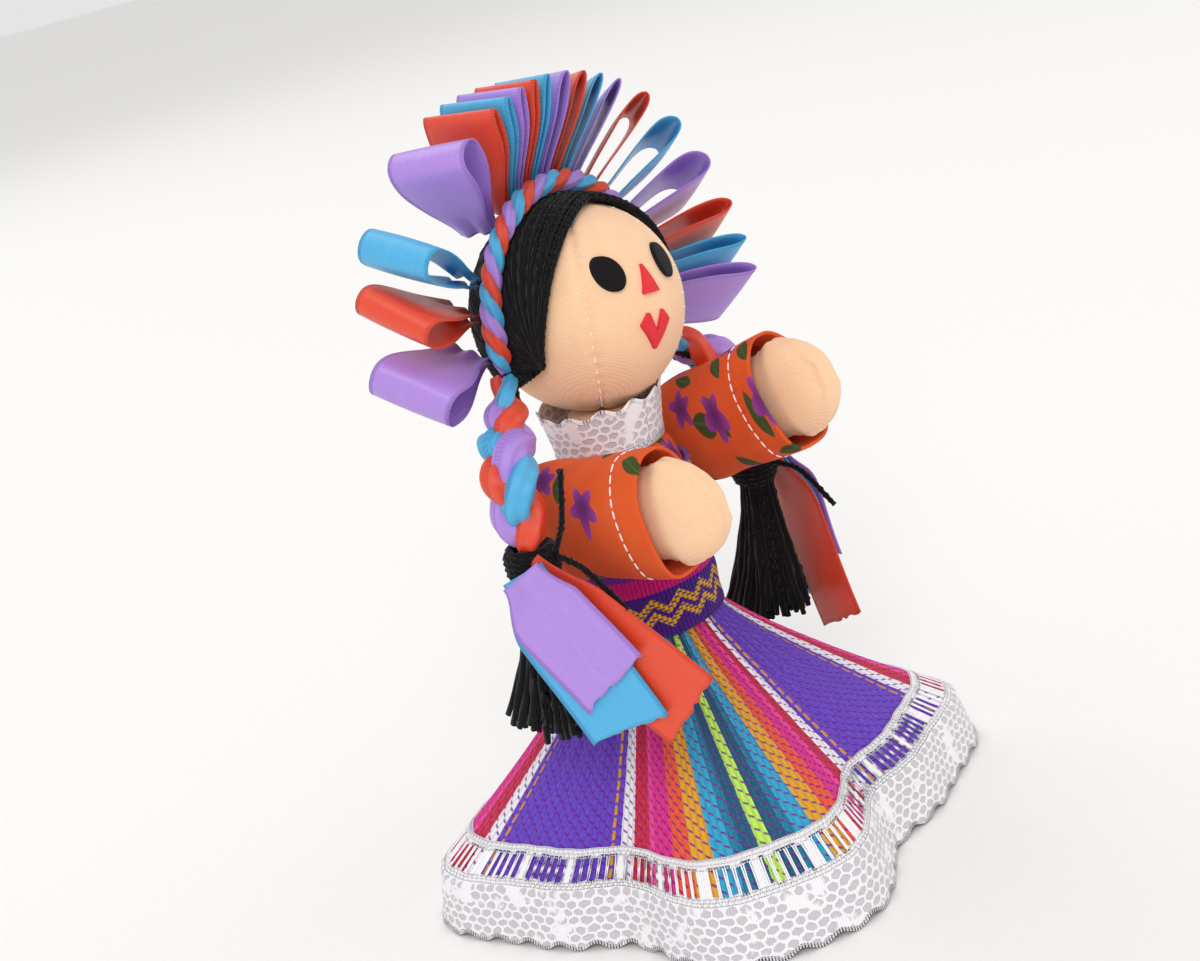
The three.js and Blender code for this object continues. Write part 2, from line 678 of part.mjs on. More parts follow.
// The ribbon is pinched where it is sewn, and opens to its full width along the loop.
function openOut(geometry, reach) {
  const positions = geometry.attributes.position;
  for (let i = 0; i < positions.count; i += 1) {
    const share = THREE.MathUtils.smoothstep(positions.getX(i) / reach, 0, LOOP_OPENING_SHARE);
    const width = THREE.MathUtils.lerp(LOOP_ROOT_WIDTH, RIBBON_WIDTH, share);
    positions.setZ(i, (positions.getZ(i) / RIBBON_WIDTH - 0.5) * width);
  }
}

// Half the room that a loop has between its neighbours, at a distance from the head's middle and for a width.
function loopRoom(index, radius, width) {
  const angle = LOOP_ANGLES[index];
  const swivel = loopSwivel(index);
  const rooms = [index - 1, index + 1].filter((other) => LOOP_ANGLES[other] !== undefined).map((other) => {
    const between = radians(Math.abs(LOOP_ANGLES[other] - angle)) * radius * Math.cos(swivel);
    const twisted = (Math.sin(Math.abs(loopSwivel(other) - swivel)) * width) / 2;
    return (between - twisted - SEAM_GAP) / 2;
  });
  return Math.min(...rooms);
}

function ribbonLoop(index) {
  const angle = LOOP_ANGLES[index];
  const reach = loopReach(index);
  const widestRadius = loopRootRadius + reach * teardropWidest;
  const bulge = Math.min(LOOP_BULGE_MOST, loopRoom(index, widestRadius, RIBBON_WIDTH));
  const rootHalf = Math.min(RIBBON_CLOTH * 2, loopRoom(index, loopRootRadius, LOOP_ROOT_WIDTH));
  const shape = new THREE.Shape(loopOutline(0, reach, bulge - rootHalf / 2, rootHalf));
  const inside = bulge - rootHalf / 2 - RIBBON_CLOTH;
  shape.holes.push(new THREE.Path(loopOutline(LOOP_STITCHED, reach - RIBBON_CLOTH, inside, 0)));
  const geometry = new THREE.ExtrudeGeometry(shape, { depth: RIBBON_WIDTH, bevelEnabled: false, steps: 1 });
  openOut(geometry, reach);
  const radial = outward(angle);
  const splay = radians(LOOP_SPLAY) * Math.abs(Math.cos(radians(angle)));
  const spread = new THREE.Vector3(0, Math.cos(splay), 0).addScaledVector(radial, Math.sin(splay));
  const swivel = loopSwivel(index);
  const tangent = outward(angle - 90).applyAxisAngle(radial, swivel);
  const back = spread.applyAxisAngle(radial, swivel);
  const lean = THREE.MathUtils.lerp(LOOP_LEAN_LEFT, LOOP_LEAN_RIGHT, (1 + loopShare(index)) / 2);
  const along = radial.clone().setY(-Math.tan(radians(lean)));
  const crownBack = CROWN_DIAMETER / 2 - CROWN_FORWARD;
  const rootY = crownBack + LOOP_BEHIND_CROWN + LOOP_ROOT_WIDTH / 2;
  const root = overHair(angle, SEAM_GAP - LOOP_ROOT_SUNK).setY(rootY);
  geometry.applyMatrix4(new THREE.Matrix4().makeBasis(along, tangent, back).setPosition(root));
  return geometry;
}

for (let index = 0; index < LOOP_ANGLES.length; index += 1) {
  const number = String(index + 1).padStart(2, '0');
  const colour = RIBBON_ORDER[index % RIBBON_ORDER.length];
  piece(head, `ribbon_loop_${number}`, ribbonLoop(index), RIBBONS[colour]);
}

// The ribbon tails of a braid, from the innermost layer outwards
const tails = [
  { colour: 'orange', length: ORANGE_TAIL_LENGTH, fan: ORANGE_TAIL_FAN },
  { colour: 'blue', length: BLUE_TAIL_LENGTH, fan: BLUE_TAIL_FAN },
  { colour: 'lilac', length: LILAC_TAIL_LENGTH, fan: LILAC_TAIL_FAN },
];

// Hanging braids: each starts below an end of the crown braid, goes out over the shoulder and hangs plumb

function braidTop(sign) {
  const angle = sign > 0 ? CROWN_END_ANGLE : 180 - CROWN_END_ANGLE;
  const end = overHair(angle, crownLift);
  end.z -= crownLift;
  end.applyAxisAngle(new THREE.Vector3(0, 1, 0), radians(HEAD_TILT));
  return end.setZ(end.z + neckTopZ);
}

function hangingBraid(side, sign, { drop, forward, rise, fanShare }) {
  const group = new THREE.Group();
  group.position.y = -forward;
  const top = braidTop(sign);
  const x = sign * braidX;
  const shoulder = waistZ + rise;
  const bottom = top.z - drop;
  const thin = BRAID_TOP_DIAMETER / 2;
  const thick = BRAID_DIAMETER / 2;
  top.y = forward - CROWN_FORWARD;
  const slant = new THREE.Vector3(x - top.x, 0, shoulder - top.z).normalize();
  const acrossSlant = new THREE.Vector3(-slant.z, 0, slant.x).multiplyScalar(-sign);
  const acrossPlumb = new THREE.Vector3(-sign, 0, 0);
  const between = acrossSlant.clone().add(acrossPlumb).normalize();
  const halfway = new THREE.Vector3((top.x + x) / 2, 0, (top.z + shoulder) / 2);
  const rings = [
    tubeRing(top, acrossSlant, thin, thin),
    tubeRing(halfway, acrossSlant, (thin + thick) / 2, (thin + thick) / 2),
    tubeRing(new THREE.Vector3(x, 0, shoulder), between, thick, thick),
    tubeRing(new THREE.Vector3(x, 0, bottom), acrossPlumb, thick, thick),
  ];
  piece(group, `braid_${side}`, solidLoft(rings), RIBBONS.orange);

  const tieTop = bottom - SEAM_GAP;
  const tieBottom = tieTop - TIE_HEIGHT;
  const tieHalf = TIE_DIAMETER / 2;
  const at = (z, across, depth, y = 0) => tubeRing(new THREE.Vector3(x, y, z), acrossPlumb, across, depth);
  const tie = [
    at(tieTop, thick, thick),
    at(tieTop - TIE_HEIGHT / 2, tieHalf, tieHalf),
    at(tieBottom, thick, thick),
  ];
  piece(group, `braid_${side}_tie`, solidLoft(tie), YARN);

  const tasselTop = tieBottom - SEAM_GAP;
  const tassel = [
    at(tasselTop, thin, thick),
    at(tasselTop - TASSEL_LENGTH / 2, TASSEL_WIDTH / 2, (thick + TASSEL_SPREAD / 2) / 2, TASSEL_BACK / 2),
    at(tasselTop - TASSEL_LENGTH, TASSEL_WIDTH / 2, TASSEL_SPREAD / 2, TASSEL_BACK),
  ];
  piece(group, `braid_${side}_tassel`, solidLoft(tassel), YARN);

  tails.forEach(({ colour, length, fan }, layer) => {
    const outside = Math.max(TASSEL_WIDTH, TIE_DIAMETER) / 2 + SEAM_GAP + RIBBON_CLOTH / 2;
    const tail = new THREE.BoxGeometry(RIBBON_CLOTH, RIBBON_WIDTH, length);
    tail.translate(0, 0, -length / 2);
    tail.rotateX(-radians(fan * fanShare));
    const layerX = outside + layer * (RIBBON_CLOTH + TAIL_LAYER_GAP);
    tail.translate(sign * layerX, 0, 0);
    tail.rotateZ(-sign * radians(TAIL_TURN));
    tail.translate(x, 0, tieTop - TIE_HEIGHT / 2);
    piece(group, `braid_${side}_tail_${colour}`, tail, RIBBONS[colour]);
  });
  doll.add(group);
}

hangingBraid('right', -1, {
  drop: BRAID_DROP_RIGHT,
  forward: BRAID_FORWARD_RIGHT,
  rise: BRAID_SHOULDER_RISE_RIGHT,
  fanShare: TAIL_FAN_SHARE_RIGHT,
});
hangingBraid('left', 1, {
  drop: BRAID_DROP_LEFT,
  forward: BRAID_FORWARD_LEFT,
  rise: BRAID_SHOULDER_RISE_LEFT,
  fanShare: TAIL_FAN_SHARE_LEFT,
});

export default doll;
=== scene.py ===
"""A small sewn rag doll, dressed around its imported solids: cloth, yarn, ribbon, lace and stitches."""

import json
import logging
import math
from dataclasses import dataclass, field
from enum import Enum
from typing import Sequence

import bmesh
import bpy
import numpy as np
from mathutils import Matrix, Vector


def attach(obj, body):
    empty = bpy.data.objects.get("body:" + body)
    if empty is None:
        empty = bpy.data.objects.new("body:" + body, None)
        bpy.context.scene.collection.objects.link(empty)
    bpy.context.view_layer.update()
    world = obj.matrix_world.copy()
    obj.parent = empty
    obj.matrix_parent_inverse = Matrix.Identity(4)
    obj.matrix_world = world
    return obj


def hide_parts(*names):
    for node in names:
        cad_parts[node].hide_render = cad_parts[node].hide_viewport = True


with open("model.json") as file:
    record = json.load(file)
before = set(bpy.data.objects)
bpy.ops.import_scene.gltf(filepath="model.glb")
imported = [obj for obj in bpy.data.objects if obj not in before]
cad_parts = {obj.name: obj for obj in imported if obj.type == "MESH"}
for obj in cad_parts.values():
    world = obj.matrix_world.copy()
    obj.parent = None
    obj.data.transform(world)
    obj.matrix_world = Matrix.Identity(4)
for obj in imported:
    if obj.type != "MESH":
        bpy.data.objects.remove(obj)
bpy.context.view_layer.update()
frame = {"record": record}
LOG = logging.getLogger("rag_doll")
MM = 0.001
SEED = 7
GOLDEN_ANGLE = 2.39996
SIDES = (("right", -1), ("left", 1))
Points = np.ndarray
Numbers = tuple[float, ...]
Pair = tuple[float, float]
Triple = tuple[float, float, float]
Stripes = tuple[tuple[float, str], ...]
Piece = bpy.types.Object
Finish = bpy.types.Material
Socket = bpy.types.NodeSocket


def linear(code: str) -> Numbers:
    """Turns a colour as it looks on a screen into the linear colour that a shader takes.

    Args:
        code: The colour as a hash sign and six hexadecimal digits.

    Returns:
        Red, green, blue and a full alpha.
    """
    shares = [int(code[i:i + 2], 16) / 255 for i in (1, 3, 5)]
    red, green, blue = (s / 12.92 if s <= 0.04045 else ((s + 0.055) / 1.055) ** 2.4 for s in shares)
    return red, green, blue, 1.0


def smooth(value: np.ndarray | float, low: float, high: float) -> np.ndarray:
    """Rises from 0 to 1 while a value goes from low to high, level at both ends."""
    share = np.clip((np.asarray(value, float) - low) / (high - low), 0, 1)
    return share * share * (3 - 2 * share)


def bell(value: Points, width: float) -> Points:
    """Is 1 at 0 and falls away on both sides."""
    return np.exp(-(value / width) ** 2)


def unit(vectors: Points) -> Points:
    """Scales vectors to a length of one."""
    return vectors / np.maximum(np.linalg.norm(vectors, axis=-1, keepdims=True), 1e-9)


def run_along(line: Points) -> Points:
    """Measures how far along a line each of its points lies."""
    return np.concatenate([[0], np.cumsum(np.linalg.norm(np.diff(line, axis=0), axis=1))])


def full_turn(count: int) -> Points:
    """Gives a number of even steps round a full turn, in radians."""
    return np.arange(count) * 2 * math.pi / count


def gridded(*coordinates: Points) -> Points:
    """Joins coordinates that each spread over a grid into the grid's points."""
    return np.stack(np.broadcast_arrays(*coordinates), -1)


def rounded(corners: Sequence[Sequence[float]], count: int) -> Points:
    """Runs a smooth line through a few points.

    Args:
        corners: The points that the line passes through.
        count: How many points the line gets.

    Returns:
        Points along the line at even steps.
    """
    given = np.array(corners, float)
    ends = np.vstack([2 * given[0] - given[1], given, 2 * given[-1] - given[-2]])
    places = np.linspace(0, len(given) - 1 - 1e-6, 8 * count)
    index = places.astype(int)
    t = (places - index)[:, None]
    a, b, c, d = (ends[index + k] for k in range(4))
    line = b + t * (c - a) / 2 + t**2 * (a - 2.5 * b + 2 * c - d / 2) + t**3 * (1.5 * (b - c) + (d - a) / 2)
    return spaced(line, count)


def spaced(line: Points, count: int) -> Points:
    """Places a number of points at even steps along a line.

    Args:
        line: The line's points.
        count: How many points to return.

    Returns:
        The even points, both ends included.
    """
    along = run_along(line)
    wanted = np.linspace(0, along[-1], count)
    return np.stack([np.interp(wanted, along, line[:, k]) for k in range(line.shape[1])], 1)


def length_of(line: Points) -> float:
    """Measures a line of points."""
    return float(np.linalg.norm(np.diff(line, axis=0), axis=1).sum())


def frames_along(line: Points, up: Sequence[float]) -> tuple[Points, Points]:
    """Finds the directions square to a line at each of its points.

    Args:
        line: The line's points.
        up: A direction that the side vectors stay square to, never along the line.

    Returns:
        The side and the normal at each point.
    """
    tangent = unit(np.gradient(line, axis=0))
    side = unit(np.cross(tangent, np.array(up, float)))
    return side, np.cross(side, tangent)


@dataclass
class Patchwork:
    """Gathers grids of points into one mesh, in millimetres, with a flat cloth coordinate."""

    points: list[Points] = field(default_factory=list)
    faces: list[tuple[int, ...]] = field(default_factory=list)
    flat: list[Pair] = field(default_factory=list)
    count: int = 0

    def grid(self, rows: Points, flat: Points | None = None, closed: bool = False, caps: bool = False,
             kept: np.ndarray | None = None) -> None:
        """Adds a sheet or a tube of points.

        Args:
            rows: Points as rows, columns and three coordinates.
            flat: The cloth coordinate of each point, with one more column where the rows close.
            closed: Whether each row closes on itself.
            caps: Whether a closed tube gets a face at each end.
            kept: Which faces of the sheet are made, all where none is given.
        """
        height, width = rows.shape[:2]
        if flat is None:
            flat = np.zeros((height, width + 1, 2))
        start = self.count
        self.points.append(rows.reshape(-1, 3))
        self.count += height * width
        for i in range(height - 1):
            for j in range(width if closed else width - 1):
                if kept is not None and not kept[i, j]:
                    continue
                k = (j + 1) % width
                low, high = start + i * width, start + (i + 1) * width
                self.faces.append((low + j, low + k, high + k, high + j))
                corners = (flat[i, j], flat[i, j + 1], flat[i + 1, j + 1], flat[i + 1, j])
                self.flat.extend((float(c[0]), float(c[1])) for c in corners)
        if caps:
            for row, order in ((0, range(width - 1, -1, -1)), (height - 1, range(width))):
                self.faces.append(tuple(start + row * width + j for j in order))
                self.flat.extend((float(flat[row, j][0]), float(flat[row, j][1])) for j in order)

    def mesh(self, name: str, finish: Finish | None) -> Piece:
        """Makes the object.

        Args:
            name: The piece's name.
            finish: Its material.

        Returns:
            The new object at the origin, smooth shaded.
        """
        data = bpy.data.meshes.new(name)
        used = sorted({corner for face in self.faces for corner in face})
        order = {corner: number for number, corner in enumerate(used)}
        faces = [tuple(order[corner] for corner in face) for face in self.faces]
        data.from_pydata((np.vstack(self.points)[used] * MM).tolist(), [], faces)
        layer = data.uv_layers.new(name="cloth")
        layer.data.foreach_set("uv", np.array(self.flat, np.float32).ravel())
        data.polygons.foreach_set("use_smooth", [True] * len(data.polygons))
        data.materials.append(finish)
        data.update()
        piece = bpy.data.objects.new(name, data)
        bpy.context.scene.collection.objects.link(piece)
        return piece


def sewn(name: str, finish: Finish | None, rows: Points, flat: Points | None = None,
         **options: object) -> Piece:
    """Makes a piece from one grid of points.

    Args:
        name: The piece's name.
        finish: Its material.
        rows: Points as rows, columns and three coordinates, in millimetres.
        flat: The cloth coordinate of each point.
        options: Whether the rows close, whether the ends are capped, and which faces are kept.

    Returns:
        The new object at the origin.
    """
    work = Patchwork()
    work.grid(rows, flat, **options)
    return work.mesh(name, finish)


def baked(piece: Piece) -> Piece:
    """Turns a piece's modifiers into its own plain mesh.

    Args:
        piece: The object whose modifiers are applied.

    Returns:
        The same object, with no modifiers left.
    """
    graph = bpy.context.evaluated_depsgraph_get()
    made = bpy.data.meshes.new_from_object(piece.evaluated_get(graph))
    piece.modifiers.clear()
    old = piece.data
    if piece.type == "MESH":
        piece.data = made
        made.name = old.name
        bpy.data.meshes.remove(old)
        return piece
    name = piece.name
    bpy.data.objects.remove(piece)
    plain = bpy.data.objects.new(name, made)
    bpy.context.scene.collection.objects.link(plain)
    return plain


def thickened(piece: Piece, thickness: float) -> Piece:
    """Gives a sheet its thickness, half to each side.

    Args:
        piece: The sheet.
        thickness: The cloth's thickness in millimetres.

    Returns:
        The piece with a plain mesh.
    """
    solid = piece.modifiers.new("thickness", "SOLIDIFY")
    solid.thickness = thickness * MM
    solid.offset = 0
    return baked(piece)


def outward_faces(piece: Piece) -> Piece:
    """Turns the faces of a closed mesh outwards."""
    work = bmesh.new()
    work.from_mesh(piece.data)
    bmesh.ops.recalc_face_normals(work, faces=work.faces)
    work.to_mesh(piece.data)
    work.free()
    return piece


@dataclass
class NodePlan:
    """Builds a Geometry Nodes tree with named inputs, and runs it on a piece."""

    name: str
    tree: bpy.types.GeometryNodeTree = None
    entry: bpy.types.Node = None
    exit: bpy.types.Node = None
    sockets: dict[str, str] = field(default_factory=dict)

    def __post_init__(self) -> None:
        """Makes the empty tree with its geometry in and out."""
        self.tree = bpy.data.node_groups.new(self.name, "GeometryNodeTree")
        self.tree.interface.new_socket("Geometry", in_out="INPUT", socket_type="NodeSocketGeometry")
        self.tree.interface.new_socket("Geometry", in_out="OUTPUT", socket_type="NodeSocketGeometry")
        self.entry = self.tree.nodes.new("NodeGroupInput")
        self.exit = self.tree.nodes.new("NodeGroupOutput")

    def size(self, name: str, kind: str = "Float") -> None:
        """Adds a named input to the tree, of the kind Float, Int or Material."""
        socket = self.tree.interface.new_socket(name, in_out="INPUT", socket_type=f"NodeSocket{kind}")
        self.sockets[name] = socket.identifier

    def node(self, kind: str, settings: dict | None = None, **inputs: object) -> bpy.types.Node:
        """Adds a node, sets it and links it.

        Args:
            kind: The node's type without its leading words.
            settings: The node's own properties.
            inputs: What goes into its sockets, as a socket or a value, by name or by s and number.

        Returns:
            The new node.
        """
        made = self.tree.nodes.new(kind)
        for key, value in (settings or {}).items():
            setattr(made, key, value)
        for key, value in inputs.items():
            number = key[1:]
            socket = made.inputs[int(number)] if number.isdigit() else made.inputs[key.replace("_", " ")]
            if isinstance(value, Socket):
                self.tree.links.new(value, socket)
            else:
                socket.default_value = value
        return made

    def math(self, operation: str, first: object, second: object = 0.0) -> Socket:
        """Adds one step of arithmetic and returns its value."""
        return self.node("ShaderNodeMath", {"operation": operation}, s0=first, s1=second).outputs[0]

    def given(self, name: str) -> Socket:
        """Finds the socket of a named input inside the tree."""
        return self.entry.outputs[name]

    def end(self, geometry: Socket) -> None:
        """Realizes what was made, sets its material and ends the tree."""
        real = self.node("GeometryNodeRealizeInstances", Geometry=geometry)
        shaded = self.node("GeometryNodeSetShadeSmooth", Geometry=real.outputs[0])
        finish = self.given("Finish")
        dressed = self.node("GeometryNodeSetMaterial", Geometry=shaded.outputs[0], Material=finish)
        self.tree.links.new(dressed.outputs[0], self.exit.inputs[0])

    def run(self, piece: Piece, **values: object) -> Piece:
        """Runs the tree on a piece and keeps the plain mesh.

        Args:
            piece: The curve or mesh that the tree starts from.
            values: The tree's inputs by name.

        Returns:
            The plain mesh object.
        """
        modifier = piece.modifiers.new(self.name, "NODES")
        modifier.node_group = self.tree
        for name, value in values.items():
            modifier[self.sockets[name.replace("_", " ")]] = value
        return baked(piece)


def strands(name: str, lines: Sequence[Points]) -> Piece:
    """Makes one curve object from many lines.

    Args:
        name: The object's name.
        lines: The lines' points in millimetres.

    Returns:
        The curve, with one open spline for each line.
    """
    data = bpy.data.curves.new(name, "CURVE")
    data.dimensions = "3D"
    for line in lines:
        spline = data.splines.new("POLY")
        spline.points.add(len(line) - 1)
        spline.points.foreach_set("co", np.column_stack([line * MM, np.ones(len(line))]).ravel())
    piece = bpy.data.objects.new(name, data)
    bpy.context.scene.collection.objects.link(piece)
    return piece


def yarn_plan() -> NodePlan:
    """Plans plied yarn: a lobed section that turns as it follows each strand.

    Returns:
        The tree, with the yarn's radius, ply count, ply depth, twist and sides as inputs.
    """
    plan = NodePlan("plied yarn")
    for name in ("Radius", "Ply depth", "Twist"):
        plan.size(name)
    plan.size("Plies", "Int")
    plan.size("Sides", "Int")
    plan.size("Finish", "Material")
    along = plan.node("GeometryNodeSplineParameter").outputs["Length"]
    turned = plan.math("MULTIPLY", along, plan.given("Twist"))
    tilted = plan.node("GeometryNodeSetCurveTilt", Curve=plan.entry.outputs[0], Tilt=turned)
    sides, radius = plan.given("Sides"), plan.given("Radius")
    section = plan.node("GeometryNodeCurvePrimitiveCircle", Resolution=sides, Radius=radius)
    share = plan.node("GeometryNodeSplineParameter").outputs["Factor"]
    angle = plan.math("MULTIPLY", plan.math("MULTIPLY", share, plan.given("Plies")), 2 * math.pi)
    lobe = plan.math("MULTIPLY", plan.math("COSINE", angle), plan.given("Ply depth"))
    swell = plan.math("ADD", lobe, 1.0)
    place = plan.node("GeometryNodeInputPosition").outputs[0]
    lobed = plan.node("ShaderNodeVectorMath", {"operation": "SCALE"}, s0=place, Scale=swell).outputs[0]
    moved = plan.node("GeometryNodeSetPosition", Geometry=section.outputs[0], Position=lobed)
    tube = plan.node("GeometryNodeCurveToMesh", Curve=tilted.outputs[0], Profile_Curve=moved.outputs[0],
                     Fill_Caps=True)
    plan.end(tube.outputs[0])
    return plan


def stitch_plan() -> NodePlan:
    """Plans a row of stitches: a short rounded thread at each step along a seam.

    Returns:
        The tree, with the stitch's pitch, length, radius and slant as inputs.
    """
    plan = NodePlan("row of stitches")
    for name in ("Pitch", "Length", "Radius", "Slant"):
        plan.size(name)
    plan.size("Finish", "Material")
    pitch, radius = plan.given("Pitch"), plan.given("Radius")
    steps = plan.node("GeometryNodeCurveToPoints", {"mode": "LENGTH"}, Curve=plan.entry.outputs[0],
                      Length=pitch)
    thread = plan.node("GeometryNodeMeshUVSphere", Segments=8, Rings=6, Radius=1.0)
    half = plan.math("DIVIDE", plan.given("Length"), 2.0)
    shape = plan.node("ShaderNodeCombineXYZ", X=radius, Y=radius, Z=half)
    turn = plan.node("ShaderNodeCombineXYZ", X=plan.given("Slant"))
    thread = plan.node("GeometryNodeTransform", Geometry=thread.outputs[0], Scale=shape.outputs[0])
    slanted = plan.node("GeometryNodeTransform", Geometry=thread.outputs[0], Rotation=turn.outputs[0])
    row = plan.node("GeometryNodeInstanceOnPoints", Points=steps.outputs["Points"],
                    Instance=slanted.outputs[0], Rotation=steps.outputs["Rotation"])
    plan.end(row.outputs[0])
    return plan


class Coordinate(Enum):
    """Where a pattern takes its place from."""

    CLOTH = "UV"
    OBJECT = "Object"


Value = "Field | float"


@dataclass(frozen=True)
class Field:
    """A number that varies over a surface, as a socket in a shader."""

    shader: "Shader"
    socket: Socket

    def __add__(self, other: Value) -> "Field":
        """Adds another value."""
        return self.shader.math("ADD", self, other)

    def __sub__(self, other: Value) -> "Field":
        """Takes another value away."""
        return self.shader.math("SUBTRACT", self, other)

    def __mul__(self, other: Value) -> "Field":
        """Multiplies by another value."""
        return self.shader.math("MULTIPLY", self, other)

    def __truediv__(self, other: Value) -> "Field":
        """Divides by another value."""
        return self.shader.math("DIVIDE", self, other)

    def apply(self, operation: str, other: Value = 0.0) -> "Field":
        """Puts the value through one named step of arithmetic."""
        return self.shader.math(operation, self, other)

    def fract(self, pitch: float) -> "Field":
        """Repeats from 0 to 1 at each pitch."""
        return (self / pitch).apply("FRACT")

    def wave(self, pitch: float) -> "Field":
        """Swings between -1 and 1 at each pitch."""
        return (self * (2 * math.pi / pitch)).apply("SINE")

    def ripple(self, pitch: float) -> "Field":
        """Swings between 0 and 1 at each pitch."""
        return self.wave(pitch) * 0.5 + 0.5

    def fold(self, pitch: float) -> "Field":
        """Falls from 0.5 to 0 and rises again at each pitch."""
        return (self.fract(pitch) - 0.5).apply("ABSOLUTE")

    def alternate(self, pitch: float) -> "Field":
        """Is 0 and 1 by turns, for one pitch each."""
        return (self / pitch).apply("FLOOR").apply("MODULO", 2.0).apply("ABSOLUTE")

    def below(self, limit: Value, soft: float) -> "Field":
        """Is 1 below a limit and 0 above it, with a soft edge."""
        rise = (self - limit) / soft
        return self.shader.math("SUBTRACT", 0.5, rise).apply("MAXIMUM", 0.0).apply("MINIMUM", 1.0)

    def between(self, low: float, high: float, soft: float) -> "Field":
        """Is 1 between two limits, with soft edges."""
        return self.below(high, soft) * (self.shader.math("SUBTRACT", 1.0, self.below(low, soft)))


class Shader:
    """A procedural material on the principled shader, built one field at a time."""

    def __init__(self, name: str, roughness: float, sheen: float = 0.0, specular: float = 0.3) -> None:
        """Makes the material.

        Args:
            name: The finish's name.
            roughness: How dull the surface is, where no field sets it.
            sheen: How much soft fuzz catches the light.
            specular: How strongly the surface mirrors light.
        """
        self.material = bpy.data.materials.new(name)
        self.material.use_nodes = True
        self.nodes = self.material.node_tree.nodes
        self.links = self.material.node_tree.links
        self.surface = self.nodes["Principled BSDF"]
        self.surface.inputs["Roughness"].default_value = roughness
        self.surface.inputs["Sheen Weight"].default_value = sheen
        self.surface.inputs["Specular IOR Level"].default_value = specular

    def put(self, socket: Socket, value: object) -> None:
        """Links a field, or sets a plain value."""
        if isinstance(value, Field):
            self.links.new(value.socket, socket)
        else:
            socket.default_value = value

    def node(self, kind: str, inputs: dict[int | str, object], **settings: object) -> bpy.types.Node:
        """Adds a node.

        Args:
            kind: The node's type without its leading words.
            inputs: What goes into its sockets, by number or name.
            settings: The node's own properties.

        Returns:
            The new node.
        """
        made = self.nodes.new(f"ShaderNode{kind}")
        for name, value in settings.items():
            setattr(made, name, value)
        for key, value in inputs.items():
            self.put(made.inputs[key], value)
        return made

    def math(self, operation: str, first: Value, second: Value = 0.0) -> Field:
        """Adds one step of arithmetic."""
        return Field(self, self.node("Math", {0: first, 1: second}, operation=operation).outputs[0])

    def place(self, source: Coordinate) -> tuple[Field, Field, Field, Field]:
        """Gives the place on the cloth or in the object, in millimetres.

        Args:
            source: The cloth's own flat coordinate or the object's.

        Returns:
            The whole vector and its three numbers.
        """
        if source is Coordinate.CLOTH:
            vector = Field(self, self.node("UVMap", {}, uv_map="cloth").outputs[0])
        else:
            metres = Field(self, self.node("TexCoord", {}).outputs["Object"])
            scaled = self.node("VectorMath", {0: metres, "Scale": 1 / MM}, operation="SCALE")
            vector = Field(self, scaled.outputs[0])
        apart = self.node("SeparateXYZ", {0: vector})
        return vector, *(Field(self, apart.outputs[k]) for k in range(3))

    def joined(self, x: Value, y: Value, z: Value = 0.0) -> Field:
        """Joins three numbers into a vector."""
        return Field(self, self.node("CombineXYZ", {0: x, 1: y, 2: z}).outputs[0])

    def noise(self, vector: Field, size: float, detail: float = 2.0) -> Field:
        """Gives soft noise between 0 and 1, with blots of a size in millimetres and some finer layers."""
        node = self.node("TexNoise", {"Vector": vector, "Scale": 1 / size, "Detail": detail})
        return Field(self, node.outputs["Fac"])

    def cells(self, vector: Field, size: float) -> tuple[Field, Field, Field, Field]:
        """Scatters points over the surface.

        Args:
            vector: The place in millimetres.
            size: The spacing of the points in millimetres.

        Returns:
            The distance to the nearest point and the angle round it, and two random numbers of the point.
        """
        scatter = {"Vector": vector, "Scale": 1 / size, "Randomness": 0.8}
        node = self.node("TexVoronoi", scatter, voronoi_dimensions="2D")
        spot = Field(self, node.outputs["Position"])
        away = self.node("VectorMath", {0: vector, 1: spot}, operation="SUBTRACT")
        apart = self.node("SeparateXYZ", {0: Field(self, away.outputs[0])})
        angle = self.math("ARCTAN2", Field(self, apart.outputs[1]), Field(self, apart.outputs[0]))
        hue = self.node("SeparateColor", {0: Field(self, node.outputs["Color"])})
        distance = Field(self, node.outputs["Distance"]) * size
        return distance, angle, Field(self, hue.outputs[0]), Field(self, hue.outputs[1])

    def mix(self, share: Value, first: object, second: object) -> Field:
        """Mixes two colours by a share."""
        return Field(self, self.node("Mix", {0: share, 6: first, 7: second}, data_type="RGBA").outputs[2])

    def bands(self, place: Field, span: float, stops: Sequence[tuple[float, str]]) -> Field:
        """Paints bands of flat colour.

        Args:
            place: The coordinate that the bands lie across, in millimetres.
            span: The last band's far edge.
            stops: Where each band starts, and its colour.

        Returns:
            The colour.
        """
        node = self.nodes.new("ShaderNodeValToRGB")
        node.color_ramp.interpolation = "CONSTANT"
        marks = node.color_ramp.elements
        while len(marks) < len(stops):
            marks.new(1.0)
        for mark, (start, code) in zip(marks, stops):
            mark.position = start / span
            mark.color = linear(code)
        self.put(node.inputs[0], place / span)
        return Field(self, node.outputs[0])

    def finish(self, colour: object, height: Field | None = None, depth: float = 0.1,
               roughness: Field | None = None) -> Finish:
        """Joins the colour, the relief and the dullness to the shader.

        Args:
            colour: The base colour.
            height: The relief, between about 0 and 1.
            depth: The relief's depth in millimetres.
            roughness: The dullness where it varies.

        Returns:
            The finished material.
        """
        self.put(self.surface.inputs["Base Color"], colour)
        if roughness is not None:
            self.put(self.surface.inputs["Roughness"], roughness)
        if height is not None:
            bump = self.node("Bump", {"Distance": depth * MM, "Height": height})
            self.links.new(bump.outputs[0], self.surface.inputs["Normal"])
        return self.material


